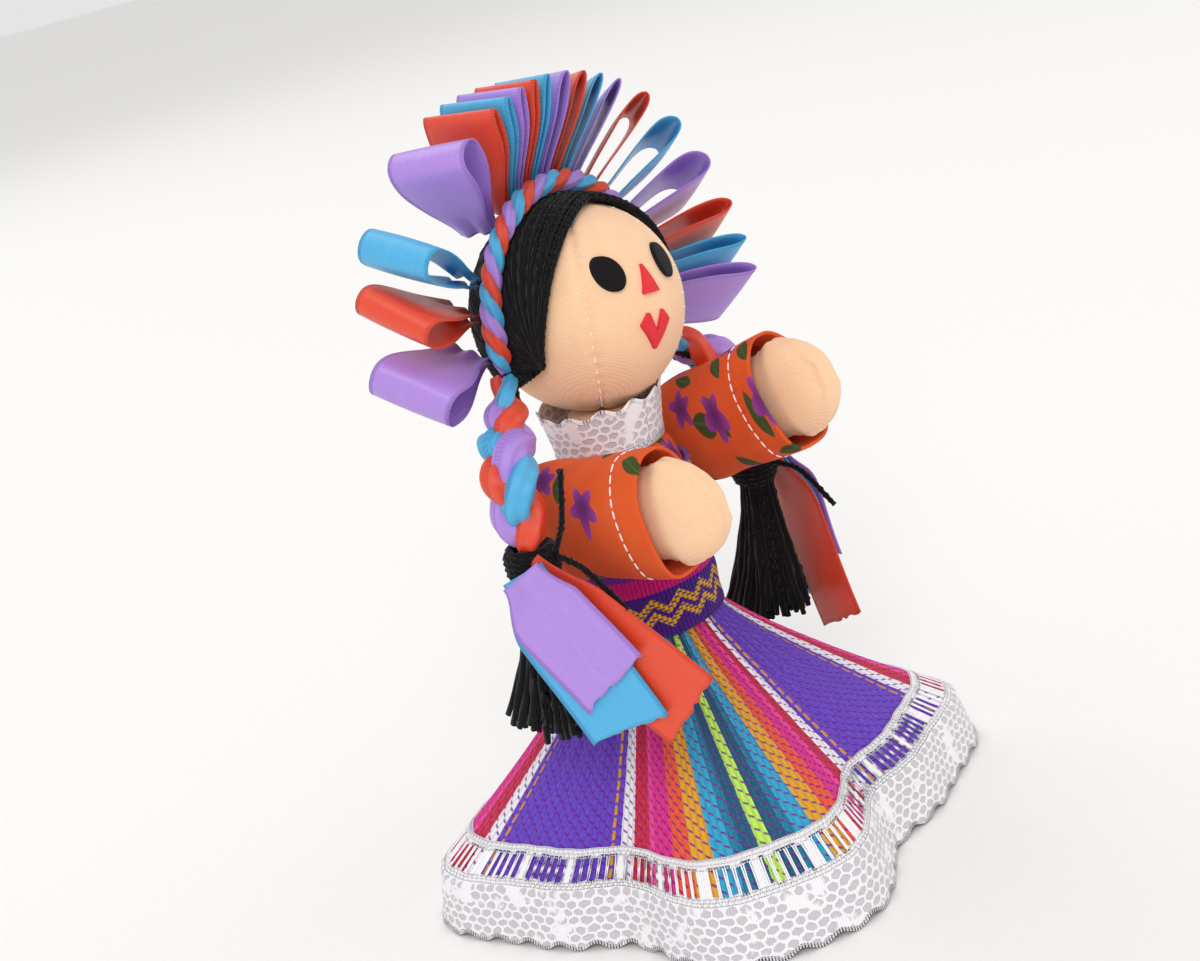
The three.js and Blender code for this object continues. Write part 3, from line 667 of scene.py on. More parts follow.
@dataclass(frozen=True)
class SkinCloth:
    """Peach cotton twill: fine slanted ribs and a slight mottle."""

    colour: str = "#fad2aa"
    shade: str = "#eeb086"
    rib: float = 0.42
    mottle: float = 5.0

    def material(self) -> Finish:
        """Builds the twill on the object's own coordinates."""
        shader = Shader("skin_twill", roughness=0.82, sheen=0.25)
        vector, x, y, z = shader.place(Coordinate.OBJECT)
        slant = (x * 0.8 + y * 0.45 + z).ripple(self.rib)
        cross = (x - z * 0.7 + y * 0.4).ripple(self.rib * 0.8)
        blotch = shader.noise(vector, self.mottle)
        share = (slant * 0.2 + cross * 0.1 + blotch * 0.4) - 0.1
        colour = shader.mix(share, linear(self.colour), linear(self.shade))
        return shader.finish(colour, slant * 0.6 + cross * 0.4, depth=0.05)


@dataclass(frozen=True)
class FineGrain:
    """A dull surface of fine fibres or grain: cut felt, acrylic yarn, cotton thread or the floor."""

    name: str
    colour: str
    light: str
    size: float
    detail: float
    share: float = 1.0
    depth: float = 0.0
    roughness: float = 0.9
    sheen: float = 0.1
    specular: float = 0.1

    def material(self) -> Finish:
        """Builds the grain on the object's own coordinates."""
        shader = Shader(self.name, self.roughness, self.sheen, self.specular)
        grain = shader.noise(shader.place(Coordinate.OBJECT)[0], self.size, self.detail)
        colour = shader.mix(grain * self.share, linear(self.colour), linear(self.light))
        return shader.finish(colour, grain if self.depth else None, self.depth)


@dataclass(frozen=True)
class Satin:
    """Satin ribbon: fine ribs along it, a dense edge on both sides, a broad gloss and painted sheen streaks
    in its colour.
    """

    name: str
    colour: str
    deep: str
    width: float = 15.0
    rib: float = 0.32
    edge: float = 0.75
    pick: float = 0.4

    def material(self) -> Finish:
        """Builds the ribbon on its cloth coordinate: along it, then across it."""
        shader = Shader(self.name, roughness=0.3, sheen=0.05, specular=0.7)
        shader.surface.inputs["Anisotropic"].default_value = 0.35
        _, along, across, _ = shader.place(Coordinate.CLOTH)
        ribs = across.ripple(self.rib)
        picks = along.ripple(self.pick)
        inside = across.between(self.edge, self.width - self.edge, 0.2)
        border = shader.math("SUBTRACT", 1.0, inside)
        # Painted sheen: soft streaks along the ribbon darken its colour towards the deep tone; the same
        # streaks also vary the relief and the roughness.
        sheen = shader.noise(shader.joined(along * 0.25, across * 2.5), 1.5)
        share = sheen * 0.35 + ribs * 0.1 + border * (picks * 0.35 + 0.1)
        colour = shader.mix(share, linear(self.colour), linear(self.deep))
        height = ribs * 0.35 + border * picks * 0.9 + sheen * 0.25
        return shader.finish(colour, height, depth=0.08, roughness=border * 0.3 + 0.26 + sheen * 0.1)


@dataclass(frozen=True)
class PrintedCloth:
    """Orange cotton with scattered leaves and five-petalled flowers."""

    ground: str = "#f26a2e"
    ground_deep: str = "#de4f1e"
    leaf: str = "#1d4f26"
    leaf_rib: str = "#3d8a3a"
    petal: str = "#a548b0"
    heart: str = "#5a1f6e"
    flower_spacing: float = 13.0
    leaf_spacing: float = 7.5
    petal_reach: float = 3.1
    leaf_half: float = 3.0
    thread: float = 0.32

    def material(self) -> Finish:
        """Builds the print on the cloth coordinate."""
        shader = Shader("printed_cotton", roughness=0.8, sheen=0.05, specular=0.15)
        vector, u, v, _ = shader.place(Coordinate.CLOTH)
        weave = u.wave(self.thread) * v.wave(self.thread) * 0.5 + 0.5
        colour = shader.mix(shader.noise(vector, 6.0), linear(self.ground), linear(self.ground_deep))
        away, angle, pick, turn = shader.cells(shader.joined(u + 4.0, v + 9.0), self.leaf_spacing)
        heading = angle - turn * (2 * math.pi)
        along = away * heading.apply("COSINE")
        across = (away * heading.apply("SINE")).apply("ABSOLUTE")
        rib = across.below(0.12, 0.1) * 0.4
        taper = shader.math("SUBTRACT", 1.0, (along / self.leaf_half).apply("POWER", 2.0))
        leaves = across.below(taper * 1.35, 0.25) * pick.below(0.5, 0.01)
        leaf = shader.mix(rib, linear(self.leaf), linear(self.leaf_rib))
        colour = shader.mix(leaves, colour, leaf)
        away, angle, pick, turn = shader.cells(vector, self.flower_spacing)
        lobes = (angle * 5.0 + turn * 6.0).apply("COSINE") * 0.22 + 0.78
        petals = away.below(lobes * self.petal_reach, 0.3) * pick.below(0.62, 0.01)
        fade = (away / self.petal_reach).apply("POWER", 1.5)
        colour = shader.mix(petals, colour, shader.mix(fade, linear(self.heart), linear(self.petal)))
        colour = shader.mix(weave * 0.12, colour, linear(self.ground_deep))
        return shader.finish(colour, weave, depth=0.07)


@dataclass(frozen=True)
class WovenStripes:
    """Hand-woven skirt cloth: warp stripes mirrored about a bright line, with ticks of the weft between."""

    repeat: float
    centre: float
    stripes: Stripes = (
        (0.0, "#c4f55a"), (1.3, "#0f5f80"), (4.6, "#1580a6"), (6.6, "#2cabd6"), (10.4, "#eba81c"),
        (15.0, "#f6582c"), (19.4, "#e8228a"), (24.8, "#ff3f9f"), (26.6, "#d31a34"), (31.2, "#f6f1f8"),
        (34.8, "#6641c8"))
    tick: str = "#7a1f92"
    # Painted shade: the dark colour laid into the grooves between the warp yarns.
    groove: str = "#3a1050"
    fluff: str = "#ffffff"
    gold: str = "#d8981f"
    warp: float = 1.4
    pick: float = 2.1
    gold_place: float = 36.5
    gold_width: float = 0.7
    gold_stitch: float = 2.2

    def material(self) -> Finish:
        """Builds the stripes on the cloth coordinate: round the skirt, then down it."""
        shader = Shader("woven_stripes", roughness=0.88, sheen=0.08, specular=0.1)
        _, u, v, _ = shader.place(Coordinate.CLOTH)
        waver = shader.noise(shader.joined(u * 0.2, v), 3.0) * 0.7 - 0.35
        moved = u + waver - (self.centre - self.repeat / 2)
        from_line = moved.fold(self.repeat) * self.repeat
        colour = shader.bands(from_line, self.repeat / 2, self.stripes)
        shifted = v + u.alternate(self.warp) * (self.pick / 2)
        across = u.fract(self.warp) - 0.5
        yarn = across.apply("ABSOLUTE") * 2.0
        hump = (shifted - across * (self.warp * 0.45)).fold(self.pick) * 2.0
        gap = hump.apply("POWER", 6.0)
        ticks = shader.math("SUBTRACT", 1.0, hump.below(0.8, 0.12)) * yarn.below(0.78, 0.2)
        fibre = shader.noise(shader.joined(u * 6.0, v * 1.2), 1.0, detail=3)
        # Painted shade: the stripe colour darkens towards the groove colour at the edges of each warp yarn,
        # where the yarns meet, plus a little random fibre tone.
        shade = shader.mix(fibre * 0.12 + yarn.apply("POWER", 6.0) * 0.22, colour, linear(self.groove))
        shade = shader.mix(fibre.below(0.42, 0.3) * 0.07, shade, linear(self.fluff))
        gold = (from_line - self.gold_place).apply("ABSOLUTE").below(self.gold_width / 2, 0.15)
        gold = gold * v.fold(self.gold_stitch).below(0.36, 0.1)
        shade = shader.mix(ticks * 0.85, shade, linear(self.tick))
        shade = shader.mix(gold, shade, linear(self.gold))
        height = (yarn.apply("POWER", 2.0) * -0.6 + 0.6) * (gap * -0.8 + 1.0) + fibre * 0.25 + gold * 0.2
        return shader.finish(shade, height, depth=0.42, roughness=gold * -0.5 + 0.88)


@dataclass(frozen=True)
class Brocade:
    """Hand-woven sash: purple ground with bands of yellow dashes, cyan diamonds and hot pink."""

    stripes: Stripes = (
        (0.0, "#4a1b86"), (8.6, "#d3177c"), (12.0, "#7a2aa0"), (13.4, "#4f2394"), (23.4, "#c81d86"),
        (25.0, "#8a52b8"))
    height: float = 32.0
    yellow: str = "#e3aa1e"
    cyan: str = "#1fa9cf"
    pink: str = "#d3177c"
    # Painted shade: the dark colour laid along the edges of the threads.
    groove: str = "#16051f"
    thread: float = 0.8
    pick: float = 1.2
    diamond: float = 5.4
    diamond_band: float = 18.4
    dash_band: float = 4.6
    upper_band: float = 26.0

    def material(self) -> Finish:
        """Builds the bands on the cloth coordinate: round the sash, then up it."""
        shader = Shader("woven_brocade", roughness=0.85, sheen=0.08, specular=0.1)
        _, u, v, _ = shader.place(Coordinate.CLOTH)
        yellow = linear(self.yellow)
        colour = shader.bands(v, self.height, self.stripes)
        dash = (v + u.alternate(self.thread) * (self.pick / 2)).fold(self.pick) * 2.0
        yarn = u.fold(self.thread) * 2.0
        zig = u.fold(self.diamond) * self.diamond
        chevron = (v - self.dash_band - zig * 0.8 + 1.0).apply("ABSOLUTE").between(0.5, 2.1, 0.3)
        chevron = chevron * (v - self.dash_band).apply("ABSOLUTE").below(3.6, 0.3) * dash.below(0.75, 0.2)
        colour = shader.mix(chevron, colour, yellow)
        ring = zig * 1.25 + (v - self.diamond_band).apply("ABSOLUTE")
        colour = shader.mix(ring.between(2.1, 3.3, 0.25) * dash.below(0.8, 0.2), colour, yellow)
        colour = shader.mix(ring.below(2.0, 0.25), colour, linear(self.cyan))
        colour = shader.mix(ring.below(0.9, 0.25), colour, linear(self.pink))
        far = (v - self.upper_band).apply("ABSOLUTE")
        fleck = far.below(1.2, 0.3) * (u + v * 1.5).fract(2.6).below(0.45, 0.1)
        colour = shader.mix(fleck, colour, yellow)
        fibre = shader.noise(shader.joined(u * 5.0, v * 2.0), 1.0, detail=3)
        # Painted shade: the colour darkens towards the groove colour at the edges of each thread, plus random
        # fibre tone.
        colour = shader.mix(yarn.apply("POWER", 4.0) * 0.35 + fibre * 0.3, colour, linear(self.groove))
        hump = yarn.apply("POWER", 2.0) * -0.7 + 0.7
        height = hump * (dash.apply("POWER", 4.0) * -0.7 + 1.0) + fibre * 0.2
        return shader.finish(colour, height, depth=0.35)


@dataclass(frozen=True)
class LaceNet:
    """The net of the lace: fine upright threads, with rows of six-sided gaps between dense places, the gaps
    painted grey as the shade seen through them.
    """

    name: str
    start: float
    colour: str = "#f3f2f5"
    # Painted shade: the grey of the shade seen through the net's gaps.
    gap: str = "#c6bfc5"
    wide: float = 2.3
    tall: float = 1.5
    thread: float = 0.5

    def material(self) -> Finish:
        """Builds the net on the cloth coordinate: along the lace, then up it."""
        shader = Shader(self.name, roughness=0.85, sheen=0.2, specular=0.1)
        vector, u, v, _ = shader.place(Coordinate.CLOTH)
        along = u + shader.noise(vector, 3.0) * 1.8
        up = v + shader.noise(shader.joined(v, u), 3.0) * 1.3
        across = (along + up.alternate(self.tall) * (self.wide / 2)).fold(self.wide) * self.wide
        rise = up.fold(self.tall) * self.tall
        gaps = across.below(self.wide * 0.38, 0.15) * (across * 0.45 + rise).below(0.68, 0.15)
        gaps = gaps * shader.noise(vector, 5.0).below(0.6, 0.05) * v.between(self.start, 99.0, 0.2)
        threads = u.ripple(self.thread)
        # Painted shade: the six-sided gaps and the lines between the upright threads are greyed towards the
        # gap colour, standing for the shade seen through the net; the gaps are also sunk in the relief.
        colour = shader.mix(gaps * 0.85 + threads * 0.22, linear(self.colour), linear(self.gap))
        return shader.finish(colour, gaps * -1.0 + threads * 0.15 + 1.0, depth=0.12)


@dataclass
class Wardrobe:
    """All finishes and both node trees, made once."""

    skin: Finish = None
    yarn: Finish = None
    eye: Finish = None
    red: Finish = None
    printed: Finish = None
    brocade: Finish = None
    lace: Finish = None
    thread: Finish = None
    ribbons: dict[str, Finish] = field(default_factory=dict)
    yarns: NodePlan = None
    stitches: NodePlan = None
    plies: int = 2
    twist: float = 1.1

    def __post_init__(self) -> None:
        """Makes each finish and each tree."""
        self.skin = SkinCloth().material()
        felt = {"size": 0.25, "detail": 4, "share": 0.8, "depth": 0.12, "roughness": 0.95}
        yarn = {"size": 0.3, "detail": 5, "depth": 0.15, "sheen": 0.12, "specular": 0.12}
        cotton = {"size": 0.5, "detail": 3, "roughness": 0.85, "sheen": 0.2}
        self.yarn = FineGrain("black_yarn", "#070607", "#1b181c", **yarn).material()
        self.eye = FineGrain("black_felt", "#0c0b0c", "#262224", **felt).material()
        self.red = FineGrain("red_felt", "#d51f2c", "#f0505a", **felt).material()
        self.printed = PrintedCloth().material()
        self.brocade = Brocade().material()
        self.lace = FineGrain("lace_thread", "#ffffff", "#f1edf3", **cotton).material()
        self.thread = FineGrain("white_stitches", "#ffffff", "#f1edf3", **cotton).material()
        self.ribbons = {
            "lilac": Satin("lilac_satin", "#b68ee2", "#8e62c8").material(),
            "orange": Satin("orange_satin", "#ea431a", "#c9330f").material(),
            "blue": Satin("blue_satin", "#4bb7e8", "#2488c0").material(),
        }
        self.yarns = yarn_plan()
        self.stitches = stitch_plan()

    def wind(self, name: str, lines: Sequence[Points], radius: float, sides: int = 6,
             finish: Finish | None = None, ply_depth: float = 0.16) -> Piece:
        """Makes yarn or thread along many lines, black yarn where no other finish is given."""
        return self.yarns.run(strands(name, lines), Radius=radius * MM, Sides=sides, Plies=self.plies,
                              Twist=self.twist / (radius * MM), Ply_depth=ply_depth,
                              Finish=finish or self.yarn)

    def sew(self, name: str, lines: Sequence[Points], pitch: float, length: float, radius: float,
            slant: float = 0.0) -> Piece:
        """Sews rows of white stitches along lines, each turned from its seam by a slant in degrees."""
        return self.stitches.run(strands(name, lines), Pitch=pitch * MM, Length=length * MM,
                                 Radius=radius * MM, Slant=math.radians(slant), Finish=self.thread)


def settle(piece: Piece, body: str, slot: str, *nodes: str) -> Piece:
    """Seats a finished piece on its body.

    Args:
        piece: The finished piece.
        body: The body that it moves with.
        slot: The record's material slot; not used.
        nodes: The solids that it stands for.

    Returns:
        The same piece.
    """
    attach(piece, body)
    if nodes:
        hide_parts(*nodes)
    LOG.info("%s: %d faces on %s", piece.name, len(piece.data.polygons), body)
    return piece


@dataclass(frozen=True)
class Padding:
    """Fills a cover: pressure inside a coarse copy at the size of a cushion, held at its seams."""

    enlarged: float = 15.0
    pressure: float = 4.0
    last_frame: int = 20
    most: float = 0.7

    def fill(self, rows: Points, held: np.ndarray) -> Points:
        """Finds how far each point of the cover moves when it is stuffed.

        Args:
            rows: The cover's points as closed rows, in millimetres.
            held: How firmly each point is held, from 0 to 1.

        Returns:
            The movement of each point in millimetres, no longer than the most that is allowed.
        """
        bag = sewn("filling", None, rows * self.enlarged, closed=True, caps=True)
        pins = bag.vertex_groups.new(name="seams")
        for index, share in enumerate(held.ravel()):
            pins.add([index], float(share), "REPLACE")
        cloth = bag.modifiers.new("filling", "CLOTH")
        cloth.settings.quality = 5
        cloth.settings.use_pressure = True
        cloth.settings.uniform_pressure_force = self.pressure
        cloth.settings.effector_weights.gravity = 0.0
        cloth.settings.vertex_group_mass = "seams"
        cloth.collision_settings.use_collision = False
        cloth.point_cache.frame_end = self.last_frame
        scene = bpy.context.scene
        for step in range(1, self.last_frame + 1):
            scene.frame_set(step)
        graph = bpy.context.evaluated_depsgraph_get()
        moved = np.empty(rows.size)
        bag.evaluated_get(graph).data.vertices.foreach_get("co", moved)
        scene.frame_set(1)
        data = bag.data
        bpy.data.objects.remove(bag)
        bpy.data.meshes.remove(data)
        shift = moved.reshape(rows.shape) / MM / self.enlarged - rows
        length = np.linalg.norm(shift, axis=-1, keepdims=True)
        return shift * np.minimum(1.0, self.most / np.maximum(length, 1e-9))


def finer(values: Points, height: int, width: int) -> Points:
    """Spreads values on a coarse grid of closed rows over a finer grid.

    Args:
        values: Values as rows, columns and numbers.
        height: The finer grid's rows.
        width: The finer grid's columns.

    Returns:
        The values on the finer grid.
    """
    down = np.linspace(0, values.shape[0] - 1, height)
    round_way = np.arange(width) * values.shape[1] / width
    i = np.minimum(down.astype(int), values.shape[0] - 2)
    j = round_way.astype(int)
    k = (j + 1) % values.shape[1]
    a, b = (down - i)[:, None, None], (round_way - j)[None, :, None]
    upper = values[i][:, j] * (1 - b) + values[i][:, k] * b
    lower = values[i + 1][:, j] * (1 - b) + values[i + 1][:, k] * b
    return upper * (1 - a) + lower * a


@dataclass(frozen=True)
class HeadPlace:
    """The head's own frame: it starts at the top of the neck and leans along the neck's axis."""

    origin: Points
    across: Points
    up: Points
    centre: float = 17.61
    radii: Triple = (17.0, 18.4, 18.2)
    hair: float = 2.0

    @classmethod
    def from_record(cls) -> "HeadPlace":
        """Reads the neck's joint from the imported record."""
        joint = next(j for j in frame["record"]["behaviour"]["joints"] if j["name"] == "neck_turn")
        up = np.array(joint["axis"], float)
        return cls(np.array(joint["pos_m"]) / MM, np.array([up[2], 0, -up[0]]), up)

    def world(self, local: Points) -> Points:
        """Moves points from the head's frame to the doll's."""
        local = np.asarray(local, float)
        depth = np.array([0.0, 1.0, 0.0])
        return self.origin + local[..., :1] * self.across + local[..., 1:2] * depth + local[..., 2:] * self.up

    def out_from(self, directions: Points, lift: np.ndarray | float) -> Points:
        """Finds points of the head's frame, in given directions from its middle and lifted off the head."""
        lift = np.broadcast_to(np.asarray(lift, float), directions.shape[:-1])[..., None]
        return directions * (np.array(self.radii) + lift) + np.array([0, 0, self.centre])

    def over_hair(self, angle: np.ndarray | float, lift: float, y: float) -> Points:
        """Finds points round the head from ear to ear, at a distance above the hair."""
        turn = np.radians(np.asarray(angle, float))
        reach = lift + self.hair
        return np.stack([(self.radii[0] + reach) * np.cos(turn), np.full_like(turn, y),
                         self.centre + (self.radii[2] + reach) * np.sin(turn)], -1)


@dataclass
class Head:
    """The stuffed head: a cover of four gores with sewn seams, and a face cut from felt."""

    wardrobe: Wardrobe
    place: HeadPlace
    seam_angles: Numbers = (-48.0, 30.0, 132.0, -150.0)
    seam_hold: float = 1.2
    groove: float = 0.32
    groove_width: float = 0.55
    pucker: float = 0.07
    pucker_width: float = 1.3
    swell: float = 0.12
    swell_from_seam: float = 1.6
    stitch_pitch: float = 2.3
    stitch_length: float = 0.95
    stitch_slant: float = 55.0
    stitched_to: float = 62.0
    thread: float = 0.09
    thread_depth: float = 0.12
    lowest: float = -74.0
    highest: float = 89.6
    slack: float = 0.35
    inset: float = 0.1
    columns: int = 240
    rows: int = 110
    coarse: tuple[int, int] = (44, 80)
    felt: float = 0.6
    face_across: float = -2.5
    eye_middle: Pair = (5.8, 6.6)
    eye_half: Pair = (2.05, 3.05)
    nose: tuple[Pair, ...] = ((-1.7, 2.1), (1.7, 2.1), (0.0, 7.1))
    nose_middle: Pair = (0.0, 3.6)
    mouth: tuple[Pair, ...] = ((0.0, -7.6), (3.1, -2.9), (1.5, -0.9), (0.0, -4.8), (-1.5, -0.9), (-3.1, -2.9))
    mouth_middle: Pair = (0.0, -6.0)

    def skin(self, latitude: Points, angle: Points, lift: Points | float) -> Points:
        """Finds points on the head at latitudes and at angles from the nose, in degrees."""
        flat, turn = np.radians(latitude), np.radians(angle)
        way = np.stack([np.cos(flat) * np.sin(turn), -np.cos(flat) * np.cos(turn), np.sin(flat)], -1)
        return self.place.out_from(way, lift)

    def net(self, rows: int, columns: int) -> tuple[Points, Points]:
        """Gives the latitude and the angle of each point of a net over the head."""
        latitude = np.linspace(self.lowest, self.highest, rows)
        angle = np.arange(columns) * 360 / columns - 180
        return np.meshgrid(latitude, angle, indexing="ij")

    def from_seam(self, latitude: Points, angle: Points) -> Points:
        """Measures how far each point lies from the nearest seam, in millimetres."""
        apart = [np.abs((angle - seam + 180) % 360 - 180) for seam in self.seam_angles]
        return np.radians(np.minimum.reduce(apart)) * self.place.radii[0] * np.cos(np.radians(latitude))

    def cover(self) -> Piece:
        """Sews the cover, fills it and draws its seams in."""
        latitude, angle = self.net(*self.coarse)
        held = bell(self.from_seam(latitude, angle), self.seam_hold)
        held = np.maximum(held, (latitude < self.lowest + 6) | (latitude > 84))
        filling = Padding().fill(self.skin(latitude, angle, -self.slack), held)
        latitude, angle = self.net(self.rows, self.columns)
        apart = self.from_seam(latitude, angle)
        along = np.radians(latitude) * self.place.radii[2]
        pucker = np.cos(2 * math.pi * along / self.stitch_pitch) * bell(apart, self.pucker_width)
        relief = -self.groove * bell(apart, self.groove_width) - self.pucker * pucker
        relief += self.swell * bell(apart - self.swell_from_seam, 1.0)
        points = self.skin(latitude, angle, relief - self.inset) + finer(filling, self.rows, self.columns)
        return sewn("head_cover", self.wardrobe.skin, self.place.world(points), closed=True, caps=True)

    def stitching(self) -> Piece:
        """Sews the slanted stitches across all four seams."""
        latitude = np.linspace(-self.stitched_to, self.stitched_to, 120)
        lines = [self.place.world(self.skin(latitude, np.full_like(latitude, seam), -self.thread_depth))
                 for seam in self.seam_angles]
        return self.wardrobe.sew("head_stitches", lines, self.stitch_pitch, self.stitch_length, self.thread,
                                 self.stitch_slant)

    def patch(self, name: str, outline: Points, middle: Sequence[float],
              finish: Finish) -> Piece:
        """Cuts a shape from felt and lays it on the face.

        Args:
            name: The piece's name.
            outline: The shape's outline, across and up from the middle of the face.
            middle: A point inside it from which the whole outline is seen.
            finish: Its material.

        Returns:
            The closed patch.
        """
        shares = np.array([0.02, 0.3, 0.6, 0.85, 0.95, 0.985, 1.0, 1.0, 0.97])
        lifts = np.array([1.0, 1.0, 1.0, 1.0, 0.98, 0.92, 0.7, -0.2, -0.4]) * self.felt
        spots = np.array(middle) + (outline - np.array(middle)) * shares[:, None, None]
        grown = np.array(self.place.radii) + lifts[:, None, None]
        x, z = spots[..., 0] + self.face_across, spots[..., 1]
        y = -grown[..., 1] * np.sqrt(1 - (x / grown[..., 0]) ** 2 - (z / grown[..., 2]) ** 2)
        points = np.stack([x, y, z + self.place.centre], -1)
        return outward_faces(sewn(name, finish, self.place.world(points)[:, ::-1], closed=True, caps=True))

    @staticmethod
    def cut(corners: Sequence[Sequence[float]], count: int = 96) -> Points:
        """Runs a closed outline through corners, with each corner a little rounded."""
        closed = np.array([*corners, corners[0]], float)
        line = spaced(closed, count + 1)[:-1]
        return 0.25 * np.roll(line, 1, 0) + 0.5 * line + 0.25 * np.roll(line, -1, 0)

    def build(self) -> None:
        """Makes the head and its face."""
        cover = settle(self.cover(), "head", "skin_cloth", "head", "head_stuffing")
        settle(self.stitching(), "head", "skin_cloth")
        turn = np.linspace(0, 2 * math.pi, 64, endpoint=False)
        oval = np.stack([np.cos(turn), np.sin(turn)], -1) * self.eye_half
        for side, sign in SIDES:
            middle = np.array([self.eye_middle[0] * sign, self.eye_middle[1]])
            eye = self.patch(f"felt_eye_{side}", middle + oval, middle, self.wardrobe.eye)
            settle(eye, "head", "black_felt", f"eye_{side}")
        shapes = {"nose": (self.nose, self.nose_middle), "mouth": (self.mouth, self.mouth_middle)}
        for name, (corners, middle) in shapes.items():
            shape = self.patch(f"felt_{name}", self.cut(corners), middle, self.wardrobe.red)
            settle(shape, "head", "red_felt", name)


@dataclass
class Hair:
    """Black yarn laid from a parting over the crown of the head down to the ears, on a dark cap."""

    wardrobe: Wardrobe
    place: HeadPlace
    front: float = 72.0
    nape: float = 207.0
    ear: Triple = (0.8, -0.18, -0.32)
    strands_each_side: int = 136
    radius: float = 0.34
    lift: float = 1.4
    cap_lift: float = 0.85
    cap_cloth: float = 0.3

    def lock(self, parting: Points, share: Points, sign: int, lift: Points | float) -> Points:
        """Finds points along a strand from the parting to the ear.

        Args:
            parting: Where each strand starts, in degrees from the face up over the head.
            share: How far along the strand the point lies.
            sign: 1 for the doll's left side, -1 for its right.
            lift: How far outside the head the strand lies, in millimetres.

        Returns:
            The points in the doll's frame.
        """
        turn = np.radians(parting)
        start = np.stack([np.zeros_like(turn), -np.cos(turn), np.sin(turn)], -1)
        end = unit(np.array(self.ear) * np.array([sign, 1, 1]))
        gap = np.arccos(np.clip(start @ end, -1, 1))[..., None]
        share = share[..., None]
        way = (np.sin((1 - share) * gap) * start + np.sin(share * gap) * end) / np.sin(gap)
        return self.place.world(self.place.out_from(way, lift))

    def cap(self) -> Piece:
        """Makes the dark cap under the strands."""
        work = Patchwork()
        share, parting = np.meshgrid(np.linspace(0, 0.985, 30), np.linspace(self.front, self.nape, 60))
        for sign in (-1, 1):
            points = self.lock(parting, share, sign, self.cap_lift)
            work.grid(points if sign < 0 else points[::-1])
        return thickened(work.mesh("hair_cap", self.wardrobe.yarn), self.cap_cloth)

    def yarn(self) -> Piece:
        """Lays the strands in two layers, each a little uneven."""
        rng = np.random.default_rng(SEED)
        lines = []
        share = np.linspace(0, 1, 26)
        for sign in (-1, 1):
            for parting in np.linspace(self.front, self.nape, self.strands_each_side):
                wander = rng.normal(0, 0.5) + 0.5 * np.sin(share * rng.uniform(3, 7) + rng.uniform(0, 6))
                height = self.lift + rng.uniform(-0.22, 0.28) - 0.5 * smooth(share, 0.9, 1.0)
                lines.append(self.lock(parting + wander, 0.004 + share * 0.99, sign, height))
        return self.wardrobe.wind("hair_yarn", lines, self.radius, sides=6)

    def build(self) -> None:
        """Makes the hair."""
        settle(self.cap(), "head", "black_yarn")
        settle(self.yarn(), "head", "black_yarn", "hair")


def gathered(name: str, finish: Finish, line: Points, radius: Points, up: Sequence[float], sides: int,
             folds: int, depth: float, width: float = 15.0) -> Piece:
    """Gathers a ribbon into a soft strand, with its folds along it.

    Args:
        name: The piece's name.
        finish: Its material.
        line: The strand's middle line in millimetres.
        radius: Its radius at each point.
        up: A direction that is never along the line.
        sides: The points of its section.
        folds: The folds round its section.
        depth: How deep the folds are, as a share of the radius.
        width: The ribbon's flat width, which the cloth coordinate runs across.

    Returns:
        The closed strand.
    """
    side, normal = frames_along(line, up)
    along = run_along(line)
    turn = np.linspace(0, 2 * math.pi, sides, endpoint=False)[None, :]
    slow = along[:, None] * 0.25
    swell = depth * np.cos(folds * turn + slow) + 0.5 * depth * np.cos(2 * turn - slow)
    reach = radius[:, None] * (1 + swell)
    points = line[:, None] + reach[..., None] * (np.cos(turn)[..., None] * side[:, None]
                                                 + np.sin(turn)[..., None] * normal[:, None])
    across = np.linspace(0.5, 0.5 + 2 * width, sides + 1)
    across = np.where(across > 0.5 + width, 1 + 2 * width - across, across)
    flat = gridded(along[:, None], across[None, :])
    return outward_faces(sewn(name, finish, points, flat, closed=True, caps=True))


class RibbonColour(Enum):
    """The three ribbons, in the order in which they follow each other."""

    LILAC = "lilac"
    ORANGE = "orange"
    BLUE = "blue"


